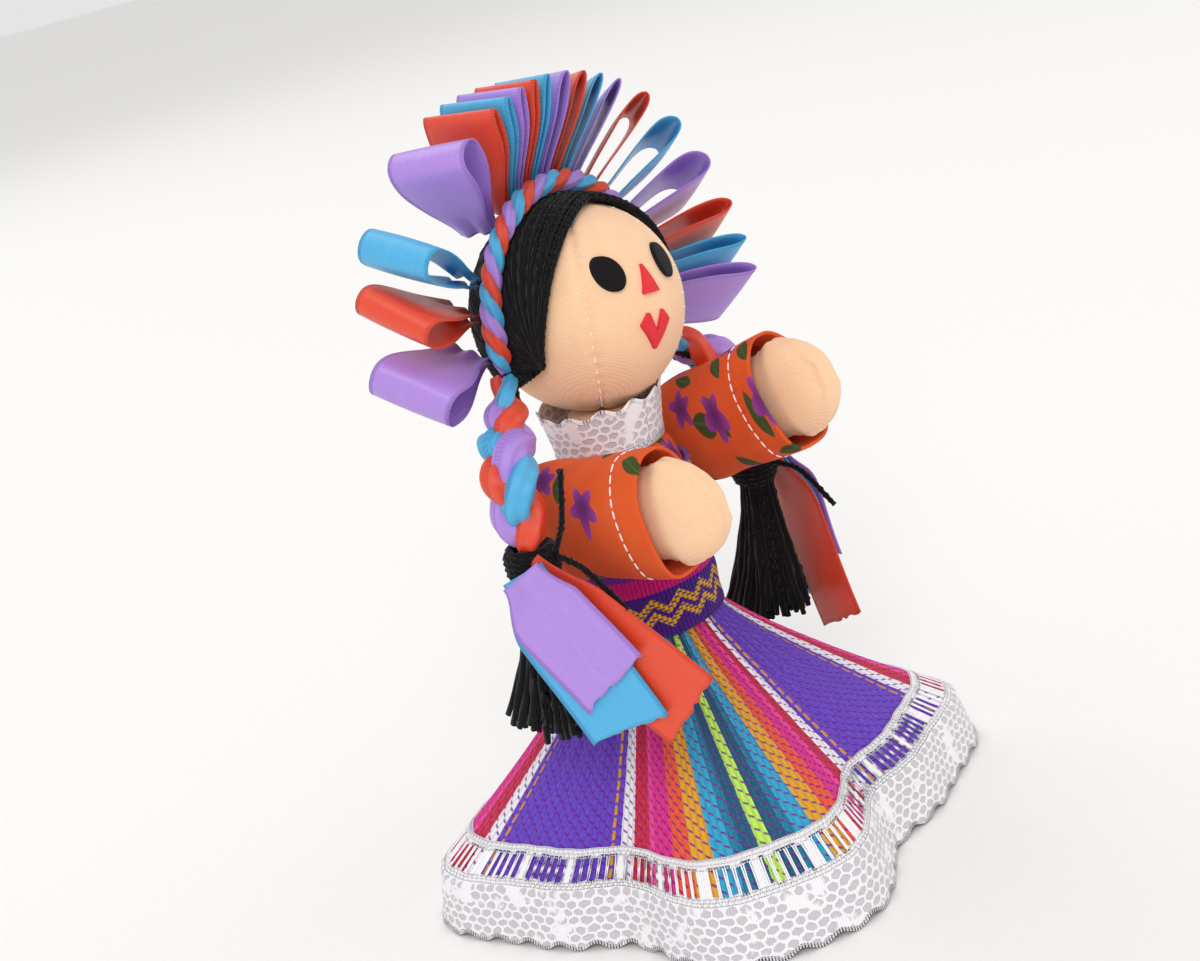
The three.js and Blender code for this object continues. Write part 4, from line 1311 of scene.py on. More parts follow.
@dataclass
class Headdress:
    """The crown: a rope of three ribbons from ear to ear, and the loops that stand behind it."""

    wardrobe: Wardrobe
    place: HeadPlace
    rope_reach: float = 0.85
    rope_strand: float = 1.02
    rope_pitch: float = 9.5
    rope_lift: float = 1.95
    rope_end: float = -17.5
    rope_y: float = 1.4
    angles: Numbers = (191, 170, 154, 126, 111, 105, 99.5, 94, 88.5, 80.5, 73, 66, 59, 49.5, 37.5,
                                 24, 10, 0, -8)
    swivels: Numbers = (-32, -26, -14, 12, 6, 3, 0, -4, -10, -18, -26, -32) + (-36,) * 7
    reach_right: float = 18.0
    reach_left: float = 23.6
    blunt: float = 10.0
    ribbon: float = 15.0
    pinched: float = 7.0
    cloth: float = 0.5
    thickness: float = 0.25
    root_y: float = 10.2
    root_lift: float = -0.3
    root_radius: float = 18.7
    lean_right: float = 4.0
    lean_left: float = 28.0
    splay: float = 12.0
    most_bulge: float = 4.2
    clearance: float = 0.3

    def rope(self) -> None:
        """Twists the three ribbons into the crown rope, one piece for each colour."""
        angle = np.linspace(180 - self.rope_end, self.rope_end, 260)
        middle = self.place.over_hair(angle, self.rope_lift, self.rope_y)
        along = run_along(middle)
        side, normal = frames_along(middle, (0, 1, 0))
        taper = 0.55 + 0.45 * smooth(np.minimum(along, along[-1] - along), 0, 3)
        for index, colour in enumerate(RibbonColour):
            turn = 2 * math.pi * (along / self.rope_pitch + index / 3)
            offset = side * np.cos(turn)[:, None] + normal * np.sin(turn)[:, None]
            line = middle + offset * self.rope_reach * taper[:, None]
            piece = gathered(f"crown_rope_{colour.value}", self.wardrobe.ribbons[colour.value],
                             self.place.world(line), self.rope_strand * taper, (0, 1, 0),
                             sides=20, folds=4, depth=0.13)
            settle(piece, "head", f"ribbon_{colour.value}", *(["crown_braid"] if index == 0 else []))

    def between_ears(self, index: int, right: float, left: float) -> float:
        """Gives a loop's share of a size that changes evenly from the doll's right ear to its left."""
        share = 1 - 2 * index / (len(self.angles) - 1)
        return left + (right - left) * (1 + share) / 2

    def turned(self, index: int) -> float:
        """Gives a loop's turn about its own length, in radians."""
        return math.radians(self.swivels[index])

    def room(self, index: int, radius: float, width: float) -> float:
        """Gives half the room between a loop's neighbours, at a radius and for a width."""
        rooms = []
        for other in (index - 1, index + 1):
            if 0 <= other < len(self.angles):
                between = math.radians(abs(self.angles[other] - self.angles[index])) * radius
                twisted = math.sin(abs(self.turned(other) - self.turned(index))) * width / 2
                rooms.append((between * math.cos(self.turned(index)) - twisted - self.clearance) / 2)
        return min(rooms)

    def teardrop(self, index: int, reach: float) -> tuple[Points, float, float]:
        """Plans a loop's outline, seen from the ribbon's edge.

        Args:
            index: The loop's number from the doll's right ear.
            reach: How far it stands out.

        Returns:
            The outline out from the root and across, half its widest opening and the width of its foot.
        """
        widest = (1 / (1 + self.blunt / 2)) ** (1 / self.blunt)
        bulge = min(self.most_bulge, self.room(index, self.root_radius + reach * widest, self.ribbon))
        foot = min(2 * self.cloth, self.room(index, self.root_radius, self.pinched))
        share = np.sin(np.linspace(0, math.pi / 2, 44))
        drop = share * np.sqrt(np.maximum(1 - share**self.blunt, 0))
        half = foot * 0.55 * (1 - share) + (bulge - foot / 2 - self.cloth / 2) * drop / drop.max()
        x = share * (reach - self.cloth / 2)
        outline = np.vstack([np.stack([x, -half], 1), np.stack([x, half], 1)[-2::-1]])
        return spaced(outline, 76), bulge, foot

    def directions(self, index: int) -> tuple[Points, Points, Points]:
        """Gives a loop's directions: out along it, across its opening, and along the ribbon's width."""
        turn, swivel = math.radians(self.angles[index]), self.turned(index)
        radial = np.array([math.cos(turn), 0, math.sin(turn)])
        tangent = np.array([math.sin(turn), 0, -math.cos(turn)])
        upright = np.array([0.0, 1, 0])
        spread = math.radians(self.splay) * abs(math.cos(turn))
        back = upright * math.cos(swivel) - tangent * math.sin(swivel)
        opening = tangent * math.cos(swivel) + upright * math.sin(swivel)
        back = back * math.cos(spread) + radial * math.sin(spread)
        lean = self.between_ears(index, self.lean_right, self.lean_left)
        return radial - upright * math.tan(math.radians(lean)), opening, back

    def loop(self, index: int, rng: np.random.Generator) -> None:
        """Folds one ribbon into a loop, pinched where it is sewn.

        Args:
            index: The loop's number from the doll's right ear.
            rng: Small differences from loop to loop.
        """
        reach = self.between_ears(index, self.reach_right, self.reach_left)
        outline, bulge, foot = self.teardrop(index, reach)
        out = outline[:, :1] / reach
        width = self.pinched + (self.ribbon - self.pinched) * smooth(out, 0, 0.75)
        across = np.linspace(-0.5, 0.5, 13)[None, :]
        pleat = np.cos(across * 4 * math.pi) * (1 - smooth(out, 0.0, 0.42)) * min(0.45, foot * 0.5)
        cup = (across**2 - 0.08) * np.sign(outline[:, 1:]) * -0.8 * smooth(outline[:, :1], 4, 16)
        twist = rng.uniform(-0.05, 0.05) * smooth(out, 0.3, 1.0)
        level = outline[:, 1:] * (1 + twist * across * 3) + pleat + cup * min(1.0, bulge / 3)
        along, opening, back = self.directions(index)
        root = self.place.over_hair(self.angles[index], self.root_lift, self.root_y)
        points = root + outline[:, None, :1] * along + level[..., None] * opening
        points = points + (across * width)[..., None] * back
        flat = gridded(run_along(outline)[:, None], (across + 0.5) * self.ribbon)
        colour = list(RibbonColour)[index % 3].value
        number = f"{index + 1:02d}"
        sheet = sewn(f"loop_{number}_{colour}", self.wardrobe.ribbons[colour], self.place.world(points), flat)
        piece = settle(thickened(sheet, self.thickness), "head", f"ribbon_{colour}", f"ribbon_loop_{number}")
        self.ribbon * MM
        float((width * length_of(outline) / len(outline)).sum()) * MM * MM

    def build(self) -> None:
        """Makes the rope and all loops."""
        rng = np.random.default_rng(SEED)
        self.rope()
        for index in range(len(self.angles)):
            self.loop(index, rng)


@dataclass
class HangingBraid:
    """One braid: three ribbons plaited with black yarn, a wound tie, a yarn tassel and three ribbon tails."""

    wardrobe: Wardrobe
    place: HeadPlace
    side: str
    sign: int
    drop: float
    y: float
    knee: float
    fan_share: float
    x: float = 34.7
    top_y: float = 1.4
    top_angle: float = -14.0
    top_lift: float = 2.5
    top_strand: float = 1.25
    strand: float = 2.55
    sway: float = 2.1
    weave: float = 1.3
    pitch: float = 21.0
    yarns_beside: int = 5
    yarn_radius: float = 0.6
    tie_gap: float = 0.3
    tie_radius: float = 4.1
    tie_height: float = 7.0
    tie_turns: float = 6.5
    tie_points: int = 170
    tassel: float = 28.0
    tassel_hidden: float = 2.0
    tassel_root: Pair = (2.6, 2.9)
    tassel_end: Pair = (3.7, 9.0)
    tassel_back: float = 5.0
    tassel_strands: int = 96
    ribbon: float = 15.0
    thickness: float = 0.25
    tails: tuple[tuple[str, float, float, float], ...] = (
        ("orange", 36.0, 40.0, 2.2), ("blue", 32.0, 22.0, -1.32), ("lilac", 24.0, 30.0, 2.2))
    tail_turn: float = 20.0
    tail_out: float = 5.5
    tail_step: float = 0.95

    @property
    def body(self) -> str:
        """The body that all of the braid moves with."""
        return f"braid_{self.side}"

    @property
    def bottom(self) -> float:
        """The height where the plait meets its tie."""
        return float(self.top()[2]) - self.drop

    @property
    def tie_top(self) -> float:
        """The height of the tie's upper edge."""
        return self.bottom - self.tie_gap

    def at(self, height: float) -> Points:
        """Gives the point of the braid's upright middle line at a height."""
        return np.array([self.sign * self.x, self.y, height])

    def top(self) -> Points:
        """Gives the point where the braid leaves the end of the crown rope."""
        angle = self.top_angle if self.sign > 0 else 180 - self.top_angle
        point = self.place.over_hair(angle, self.top_lift, 0.0)
        point = self.place.world(point - np.array([0, 0, self.top_lift]))
        point[1] = self.top_y
        return point

    def route(self, count: int) -> Points:
        """Gives the braid's middle line from the end of the crown rope to the tie."""
        top, knee = self.top(), self.at(self.knee)
        bend = knee - np.array([self.sign * 0.6, 0, -1.5])
        middle, end = self.at((self.knee + self.bottom) / 2), self.at(self.bottom - 1.0)
        return rounded([top, (top + knee) / 2, bend, middle, end], count)

    def plait(self) -> None:
        """Plaits the three ribbons, one piece for each colour."""
        middle = self.route(150)
        along = run_along(middle)
        side, normal = frames_along(middle, (0, 1, 0))
        radius = self.top_strand + (self.strand - self.top_strand) * smooth(along, 0, 14)
        radius = radius * (1 - 0.3 * smooth(along, along[-1] - 3, along[-1]))
        share = (radius / self.strand)[:, None]
        for index, colour in enumerate(RibbonColour):
            turn = 2 * math.pi * (along / self.pitch + index / 3)
            line = middle + normal * (self.sway * np.sin(turn))[:, None] * share
            line = line + side * (self.weave * np.sin(2 * turn))[:, None] * share
            piece = gathered(f"braid_{self.side}_{colour.value}", self.wardrobe.ribbons[colour.value],
                             line, radius, (0.2, 1, 0.1), sides=30, folds=5, depth=0.1)
            settle(piece, self.body, f"ribbon_{colour.value}", *([self.body] if index == 0 else []))

    def beside(self) -> list[Points]:
        """Runs black yarn down the inner side of the plait."""
        middle = self.route(60)
        grow = smooth(np.linspace(0, 1, len(middle)), -0.5, 0.35)[:, None]
        wave = np.linspace(0, 9, len(middle))
        inward = np.array([-self.sign, 0.35, 0.0])
        lines = []
        for k in range(self.yarns_beside):
            apart = np.array([0, 0.9 * (k - 1.6), 0]) + inward * (3.3 - 0.25 * abs(k - 2))
            lines.append(middle + apart * grow + 0.25 * np.sin(wave + k)[:, None] * inward)
        return lines

    def tie(self) -> list[Points]:
        """Winds the tie once each way, swollen in its middle."""
        turns = np.linspace(0, 2 * math.pi * self.tie_turns, self.tie_points)
        level = self.tie_top - 0.4 - (self.tie_height - 0.8) * np.linspace(0, 1, self.tie_points)
        bulge = self.tie_radius - 1.3 * np.abs(np.linspace(-1, 1, self.tie_points)) ** 4
        wound = np.stack([bulge * np.cos(turns), bulge * np.sin(turns), level], 1)
        under = np.stack([bulge * np.cos(-turns), bulge * np.sin(-turns), level - 0.4], 1) * [0.96, 0.96, 1]
        return [self.at(0) + wound, self.at(0) + under]

    def hanging(self, rng: np.random.Generator) -> list[Points]:
        """Hangs the tassel's strands, which spread towards their ends."""
        start = self.at(self.tie_top - self.tie_height + self.tassel_hidden)
        share = np.linspace(0, 1, 12)[:, None]
        lines = []
        for k in range(self.tassel_strands):
            turn = k * GOLDEN_ANGLE
            spot = math.sqrt((k + 0.5) / self.tassel_strands) * np.array([math.cos(turn), math.sin(turn), 0])
            root = spot * [*self.tassel_root, 0]
            spread = spot * [*self.tassel_end, 0] + np.array([0, self.tassel_back, 0])
            fall = np.array([0, 0, -(self.tassel * rng.uniform(0.86, 1.02) + self.tassel_hidden)])
            wave = 0.5 * np.sin(share * rng.uniform(4, 8) + rng.uniform(0, 6))
            wave = wave * [math.sin(turn), math.cos(turn), 0]
            lines.append(start + root + fall * share + (spread - 0.6 * root) * share**1.5 + wave * share)
        return lines

    def loose_ends(self) -> list[Points]:
        """Leaves two ends of the tie's yarn, one upwards and one to the front."""
        knot = self.at(self.tie_top - 2.5) + np.array([-self.sign * 1.0, -4.2, 0])
        mirror = np.array([self.sign, 1, 1])
        bends = (((0.8, -4.5, 6.0), (0.4, -7.0, 15.0)), ((0.8, -6.5, -2.0), (0.4, -13.0, -9.0)))
        return [rounded([knot, knot + mirror * near, knot + mirror * far], 14) for near, far in bends]

    def yarns(self) -> Piece:
        """Makes all black yarn of the braid: beside the plait, the tie, the tassel and the loose ends."""
        rng = np.random.default_rng(SEED + self.sign)
        lines = self.beside() + self.tie() + self.hanging(rng) + self.loose_ends()
        return self.wardrobe.wind(f"braid_{self.side}_yarn", lines, self.yarn_radius, sides=6)

    def tail(self, layer: int, colour: str, length: float, fan: float, slant: float) -> None:
        """Hangs one ribbon tail from the tie.

        Args:
            layer: Its place from the tassel outwards.
            colour: The ribbon's colour.
            length: Its length in millimetres.
            fan: How far it swings to the front, in degrees.
            slant: How much longer one edge is cut than the other, in millimetres.
        """
        rng = np.random.default_rng(SEED + layer)
        share = np.linspace(0, 1, 30)[:, None]
        across = np.linspace(-0.5, 0.5, 15)[None, :]
        width = self.ribbon * (0.55 + 0.45 * smooth(share, 0.0, 0.35))
        drop = share * (length - 1.2 + slant * across)
        pleat = 0.45 * np.cos(across * 9.4) * (1 - smooth(share, 0.02, 0.4))
        bow = 0.35 * np.sin(share * math.pi * 1.4 + 0.6) + 0.3 * (4 * across**2) * share - 0.15
        fray = np.where(share > 0.985, 0.35 * rng.uniform(-1, 1, across.shape), 0)
        inset = (1 - smooth(share, 0.0, 0.25)) * -1.6
        turn, facing = math.radians(fan), math.radians(self.tail_turn)
        out = np.array([self.sign * math.cos(facing), -math.sin(facing), 0])
        level = np.array([self.sign * math.sin(facing), math.cos(facing), 0])
        down = level * -math.sin(turn) + np.array([0, 0, -math.cos(turn)])
        wide = level * math.cos(turn) + np.array([0, 0, -math.sin(turn)])
        start = self.at(self.tie_top - self.tie_height / 2) + out * (self.tail_out + layer * self.tail_step)
        points = start + (drop + fray)[..., None] * down + (across * width)[..., None] * wide
        points = points + (inset + (pleat + bow) * np.minimum(1, share * 5))[..., None] * out
        flat = gridded(share * length, (across + 0.5) * self.ribbon)
        sheet = sewn(f"tail_{self.side}_{colour}", self.wardrobe.ribbons[colour], points, flat)
        piece = thickened(sheet, self.thickness)
        settle(piece, self.body, f"ribbon_{colour}", f"{self.body}_tail_{colour}")
        self.ribbon * MM
        length * MM
        float(width.mean()) * length * MM * MM

    def build(self) -> None:
        """Makes the braid and all that hangs on it."""
        self.plait()
        settle(self.yarns(), self.body, "black_yarn", f"{self.body}_tie", f"{self.body}_tassel")
        for layer, (colour, length, fan, slant) in enumerate(self.tails):
            self.tail(layer, colour, length, fan * self.fan_share, slant)


@dataclass(frozen=True)
class LacePattern:
    """Machine lace: dense bands, a row of windows, a net and a scalloped edge."""

    total: float
    height: float
    windows: float
    scallop_pitch: float
    step: float = 0.5
    scallop: float = 1.1
    band_foot: float = 0.15
    band_top: float = 1.25
    lower_band: float = 0.85
    zigzag: float = 0.55
    group: int = 6
    group_pitch: float = 10.2
    bar_half: float = 0.16
    edge_insets: Numbers = (0.0, 0.22, 0.5)
    margin: float = 0.1

    def edge(self, u: Points) -> Points:
        """Gives the height of the scalloped edge at places along the lace."""
        return self.height - self.scallop * (0.5 + 0.5 * np.cos(2 * math.pi * u / self.scallop_pitch))

    def window_pitch(self) -> float:
        """Gives the distance between the bars of the windows, which stand in groups."""
        return self.total / (self.group * round(self.total / self.group_pitch))

    def ground(self) -> tuple[Points, np.ndarray]:
        """Plans the net behind the threads.

        Returns:
            The net's corners along the lace and up it, and which of its meshes are kept.
        """
        u = np.linspace(0, self.total, round(self.total / self.step) + 1)
        share = np.linspace(0, 1, round(self.height / self.step) + 1)
        v = self.margin + share[:, None] * (self.edge(u) - 2 * self.margin)
        corners = gridded(u, v)
        middle = (corners[:-1, :-1] + corners[1:, 1:]) / 2
        place = middle[..., 0] / self.window_pitch()
        inside = (middle[..., 1] > self.band_top) & (middle[..., 1] < self.band_top + self.windows)
        return corners, ~(inside & (np.floor(place) % self.group > 0))

    def band(self, low: float, high: float) -> list[Points]:
        """Lays a dense band: three threads along it and a zigzag between."""
        u = np.linspace(0, self.total, round(self.total / self.zigzag))
        lines = [np.stack([u, np.full_like(u, v)], 1) for v in (low, (low + high) / 2, high)]
        lines.append(np.stack([u, np.where(np.arange(len(u)) % 2, low, high)], 1))
        return lines

    def bars(self, low: float, high: float) -> list[Points]:
        """Lays the upright bars between the windows: the first window of each group is closed by the net."""
        pitch, middle = self.window_pitch(), (low + high) / 2
        return [np.array([[k * pitch + s * 1.5, low], [k * pitch + s, middle], [k * pitch + s, high]])
                for k in range(round(self.total / pitch)) for s in (-self.bar_half, self.bar_half)]

    def lines(self) -> list[Points]:
        """Gives all threads, along the lace and down it."""
        made = self.band(self.band_foot, self.band_top)
        if self.windows:
            below = self.band_top + self.windows
            made += self.bars(self.band_top, below)
            made += self.band(below, below + self.lower_band)
        u = np.linspace(0, self.total, round(self.total / self.step))
        made += [np.stack([u, self.edge(u) - inset], 1) for inset in self.edge_insets]
        return made


@dataclass
class Torso:
    """The stuffed body with its blouse, the woven sash and the lace collar."""

    wardrobe: Wardrobe
    heights: Numbers = (37.0, 44.0, 71.0, 75.5, 80.0, 85.0)
    half_widths: Numbers = (10.0, 11.0, 12.0, 10.75, 6.0, 6.0)
    half_depths: Numbers = (9.0, 10.0, 10.0, 9.0, 6.0, 6.0)
    bodice_bottom: float = 44.3
    blouse_top: float = 79.4
    sash_top: float = 72.0
    collar_bottom: float = 77.4
    collar_height: float = 9.8
    collar_bottom_half: Pair = (9.95, 8.9)
    collar_spread: float = 1.6
    collar_length: float = 66.0
    collar_scallop: float = 5.5
    collar_waves: int = 9
    lace_cloth: float = 0.2
    lace_thread: float = 0.14
    cloth_radius: float = 12.8
    columns: int = 120
    rows: int = 40

    def wall(self, heights: Points, offset: Points | float) -> Points:
        """Finds rings of points round the body at heights, moved out by an offset."""
        wide = np.interp(heights, self.heights, self.half_widths)[:, None] + offset
        deep = np.interp(heights, self.heights, self.half_depths)[:, None] + offset
        turn = full_turn(self.columns)
        return gridded(wide * np.sin(turn), -deep * np.cos(turn), heights[:, None])

    def cloth(self, name: str, low: float, high: float, offset: float, thickness: float,
              finish: Finish, slack: float) -> Piece:
        """Wraps a cloth round the body.

        Args:
            name: The piece's name.
            low: The height of its lower edge.
            high: The height of its upper edge.
            offset: How far outside the body its middle lies.
            thickness: The cloth's thickness.
            finish: Its material.
            slack: How deep its creases are.

        Returns:
            The wrapped cloth.
        """
        heights = np.linspace(low, high, self.rows)
        turn, level = full_turn(self.columns)[None, :], heights[:, None]
        crease = np.sin(3 * turn + level * 0.35) * np.cos(level * 0.6 + 2 * turn)
        points = self.wall(heights, offset + slack * crease)
        reach = np.linspace(0, 2 * math.pi * self.cloth_radius, self.columns + 1)
        flat = gridded(reach[None, :], level - low)
        return thickened(sewn(name, finish, points, flat, closed=True), thickness)

    def cover(self) -> Piece:
        """Sews and fills the body's cover, up to the neck."""
        points = self.wall(np.linspace(self.heights[0], self.heights[-1] - 0.4, self.rows), 0.0)
        coarse = points[:, ::2]
        shift = Padding(most=0.15).fill(coarse, np.full(coarse.shape[:2], 0.5))
        points = points + finer(shift, self.rows, self.columns)
        return sewn("body_cover", self.wardrobe.skin, points, closed=True, caps=True)

    def collar(self) -> tuple[Piece, Piece]:
        """Lays the collar round the neck, its scalloped edge upwards: the net, then the threads on it."""
        pattern = LacePattern(self.collar_length, self.collar_height - 0.2, 0.0, self.collar_scallop)

        def stood(flat: Points, offset: float) -> Points:
            """Stands points of the flat lace round the neck."""
            turn = flat[..., 0] / pattern.total * 2 * math.pi
            share = flat[..., 1] / self.collar_height
            out = offset + self.collar_spread * share + 0.35 * np.sin(self.collar_waves * turn) * share
            wide, deep = self.collar_bottom_half[0] + out, self.collar_bottom_half[1] + out
            height = self.collar_bottom + flat[..., 1]
            return np.stack([wide * np.sin(turn), -deep * np.cos(turn), height], -1)

        corners, kept = pattern.ground()
        finish = LaceNet("collar_net", 1.4).material()
        net = thickened(sewn("collar_net", finish, stood(corners, 0.2), corners, kept=kept), self.lace_cloth)
        lines = [stood(line, 0.35) for line in pattern.lines()]
        return net, self.wardrobe.wind("collar_threads", lines, self.lace_thread, 5, self.wardrobe.lace, 0.0)

    def build(self) -> None:
        """Makes the body and its clothes."""
        cover = settle(self.cover(), "torso", "skin_cloth", "torso", "torso_stuffing")
        net, threads = self.collar()
        settle(net, "torso", "lace", "collar_lace")
        settle(threads, "torso", "lace")
        blouse = self.cloth("blouse_body", self.bodice_bottom, self.blouse_top, offset=0.6, thickness=0.5,
                            finish=self.wardrobe.printed, slack=0.1)
        settle(blouse, "torso", "printed_cloth", "blouse")
        sash = self.cloth("woven_sash", self.bodice_bottom, self.sash_top, offset=1.65, thickness=0.75,
                          finish=self.wardrobe.brocade, slack=0.22)
        settle(sash, "torso", "brocade", "sash")


@dataclass
class Arm:
    """One stuffed arm with its mitten hand, in a short printed sleeve with a topstitched cuff."""

    wardrobe: Wardrobe
    side: str
    pivot: Triple
    pitch: float
    turn: float
    length: float = 37.5
    width: float = 10.8
    height: float = 18.4
    wrist_at: float = 25.9
    wrist: Pair = (10.0, 15.8)
    square: float = 2.5
    sleeve_length: float = 26.5
    cuff_flare: float = 0.6
    sleeve_root: float = -9.65
    sleeve_girth: float = 46.0
    sleeve_cloth: float = 0.6
    sleeve_ease: float = 0.4
    print_shift: float = 60.0
    stitch_from_edge: float = 5.6
    stitch_pitch: float = 1.9
    stitch_length: float = 1.6
    thread: float = 0.16
    seam_depth: float = 0.3
    seam_width: float = 0.45
    columns: int = 96
    rows: int = 90

    def world(self, local: Points) -> Points:
        """Moves points from the arm's frame, which runs along the arm, to the doll's."""
        lift, swing = math.radians(90 - self.pitch), math.radians(self.turn)
        x, y, z = local[..., 0], local[..., 1], local[..., 2]
        forward, up = y * math.cos(lift) - z * math.sin(lift), y * math.sin(lift) + z * math.cos(lift)
        across = x * math.cos(swing) - forward * math.sin(swing)
        forward = x * math.sin(swing) + forward * math.cos(swing)
        return np.stack([across, forward, up], -1) + np.array(self.pivot)

    def ring(self, wide: Points, deep: Points, along: Points, columns: int) -> Points:
        """Finds rings of the arm's squarish section."""
        turn = full_turn(columns)
        sine, cosine = np.sin(turn), np.cos(turn)
        x = np.sign(sine) * np.abs(sine) ** (2 / self.square)
        y = -np.sign(cosine) * np.abs(cosine) ** (2 / self.square)
        return gridded(wide[:, None] * x, deep[:, None] * y, along[:, None])

    def limb(self, count: int, columns: int, inset: float) -> Points:
        """Finds the arm's surface from its tip to its root, in the arm's frame."""
        end = self.height / 2
        half = np.array([1.0, self.width / 2 - inset, end - inset])
        angle = np.radians(np.linspace(86, 0, count // 2))
        reach = self.length - end + (end - inset) * np.sin(angle)
        tip = np.stack([reach, np.cos(angle), np.cos(angle)], 1) * half
        middle = np.array([[self.wrist_at, self.wrist[0] / 2 - inset, self.wrist[1] / 2 - inset]])
        angle = np.radians(np.linspace(0, 84, count // 4))
        root = np.stack([-end * np.sin(angle), np.cos(angle), np.cos(angle)], 1) * half
        section = spaced(np.vstack([tip, middle, root]), count)
        return self.ring(section[:, 1], section[:, 2], section[:, 0], columns)

    def cover(self) -> Piece:
        """Sews the two halves of the arm, fills them and draws the seam in."""
        coarse = self.limb(36, 48, 0.35)
        held = bell(coarse[..., 0], 0.9) * (coarse[..., 2] > 0)
        held[0] = held[-1] = 1
        filling = Padding(most=0.55).fill(coarse, held)
        points = self.limb(self.rows, self.columns, 0.15)
        groove = bell(points[..., 0], self.seam_width)
        pucker = bell(points[..., 0], 1.5) * np.cos(points[..., 2] * 2.6) * 0.06
        drawn = self.outward(points) * (self.seam_depth * groove + pucker)[..., None]
        points = points + finer(filling, self.rows, self.columns) - drawn
        rows = self.world(points)[:, ::-1]
        return outward_faces(sewn(f"mitten_{self.side}", self.wardrobe.skin, rows, closed=True, caps=True))

    @staticmethod
    def outward(points: Points) -> Points:
        """Gives the direction away from the arm's middle line at each point."""
        return unit(points * np.array([1, 1, 0]) + 1e-9)

    def sleeve_rows(self, along: Points, lift: float) -> Points:
        """Finds the sleeve's surface at places along the arm, with its creases, in the arm's frame."""
        end = self.height / 2
        fall = np.sqrt(np.clip(1 - (np.minimum(along, 0) / (end + 0.75)) ** 2, 0.02, 1))
        flare = self.cuff_flare * smooth(along, 6, self.sleeve_length)
        wide = (self.width / 2 + self.sleeve_ease) * fall + flare + lift
        deep = (end + self.sleeve_ease) * fall + flare + lift
        points = self.ring(wide, deep, along, self.columns)
        turn, place = full_turn(self.columns)[None, :], along[:, None]
        crease = np.sin(2 * turn + place * 0.42) * bell(place - 2, 6) * 0.32
        crease = crease + np.sin(5 * turn + 1.3 + place * 0.12) * smooth(place, 10, 26) * 0.2
        hem = -0.16 * bell(place - self.sleeve_length + self.stitch_from_edge, 0.5)
        return points + self.outward(points) * (crease + hem)[..., None]

    def sleeve(self) -> Piece:
        """Sews the sleeve, closed at the shoulder."""
        shoulder, sleeve = np.linspace(self.sleeve_root, 0, 16)[:-1], np.linspace(0, self.sleeve_length, 50)
        along = np.concatenate([shoulder, sleeve])
        reach = np.linspace(0, self.sleeve_girth, self.columns + 1)[None, :]
        shift = self.print_shift if self.side == "left" else 0
        work = Patchwork()
        flat = gridded(reach + shift, along[:, None])
        work.grid(self.world(self.sleeve_rows(along, 0.35)), flat, closed=True)
        work.faces.append(tuple(range(self.columns)))
        work.flat.extend((0.0, 0.0) for _ in range(self.columns))
        sheet = work.mesh(f"printed_sleeve_{self.side}", self.wardrobe.printed)
        return thickened(outward_faces(sheet), self.sleeve_cloth)

    def topstitch(self) -> Piece:
        """Sews the white topstitch round the cuff."""
        row = self.sleeve_rows(np.array([self.sleeve_length - self.stitch_from_edge]), 0.7)[0]
        line = self.world(np.vstack([row, row[:1]]))
        return self.wardrobe.sew(f"cuff_stitches_{self.side}", [line], self.stitch_pitch, self.stitch_length,
                                 self.thread)

    def build(self) -> None:
        """Makes the arm and its sleeve."""
        body = f"arm_{self.side}"
        cover = settle(self.cover(), body, "skin_cloth", body, f"{body}_stuffing")
        stitches = settle(self.topstitch(), body, "lace")
        sleeve = settle(self.sleeve(), body, "printed_cloth", f"sleeve_{self.side}")


@dataclass
class Leg:
    """One short stuffed leg with a foot, hidden in the skirt."""

    wardrobe: Wardrobe
    side: str
    sign: int
    spacing: float = 12.4
    hip: float = 31.5
    thigh: float = 10.4
    sole: float = 1.2
    foot_heights: Numbers = (0.0, 0.5, 1.4, 2.6, 3.8, 5.0, 6.4)
    foot_half: Numbers = (3.2, 3.8, 4.0, 4.0, 4.0, 4.0, 4.0)
    toe: Numbers = (3.2, 3.9, 4.0, 3.6, 2.2, 0.6, 0.1)
    ankle_height: float = 9.0
    ankle_half: float = 4.05
    columns: int = 48

    def build(self) -> None:
        """Makes the leg."""
        turn, half = full_turn(self.columns), self.thigh / 2
        dome = np.radians(np.linspace(0, 80, 12))[1:]
        shaft = np.linspace(self.ankle_height, self.hip, 12)
        foot = self.sole + np.array(self.foot_heights)
        heights = np.concatenate([foot, shaft, self.hip + half * np.sin(dome)])[:, None]
        shaft = np.linspace(self.ankle_half, half, 12)
        thick = np.concatenate([self.foot_half, shaft, half * np.cos(dome)])[:, None]
        toe = np.concatenate([self.toe, np.zeros(len(heights) - len(self.toe))])[:, None]
        front = np.maximum(np.cos(turn), 0)
        points = gridded(self.sign * self.spacing / 2 + thick * np.sin(turn),
                         -thick * np.cos(turn) - toe * front, heights)
        held = np.maximum(bell(np.sin(turn) * thick, 0.9), heights < 3.0)
        points = points + Padding(most=0.3).fill(points, held)
        body = f"leg_{self.side}"
        sheet = sewn(f"stocking_{self.side}", self.wardrobe.skin, points, closed=True, caps=True)
        piece = settle(outward_faces(sheet), body, "skin_cloth", body, f"{body}_stuffing")


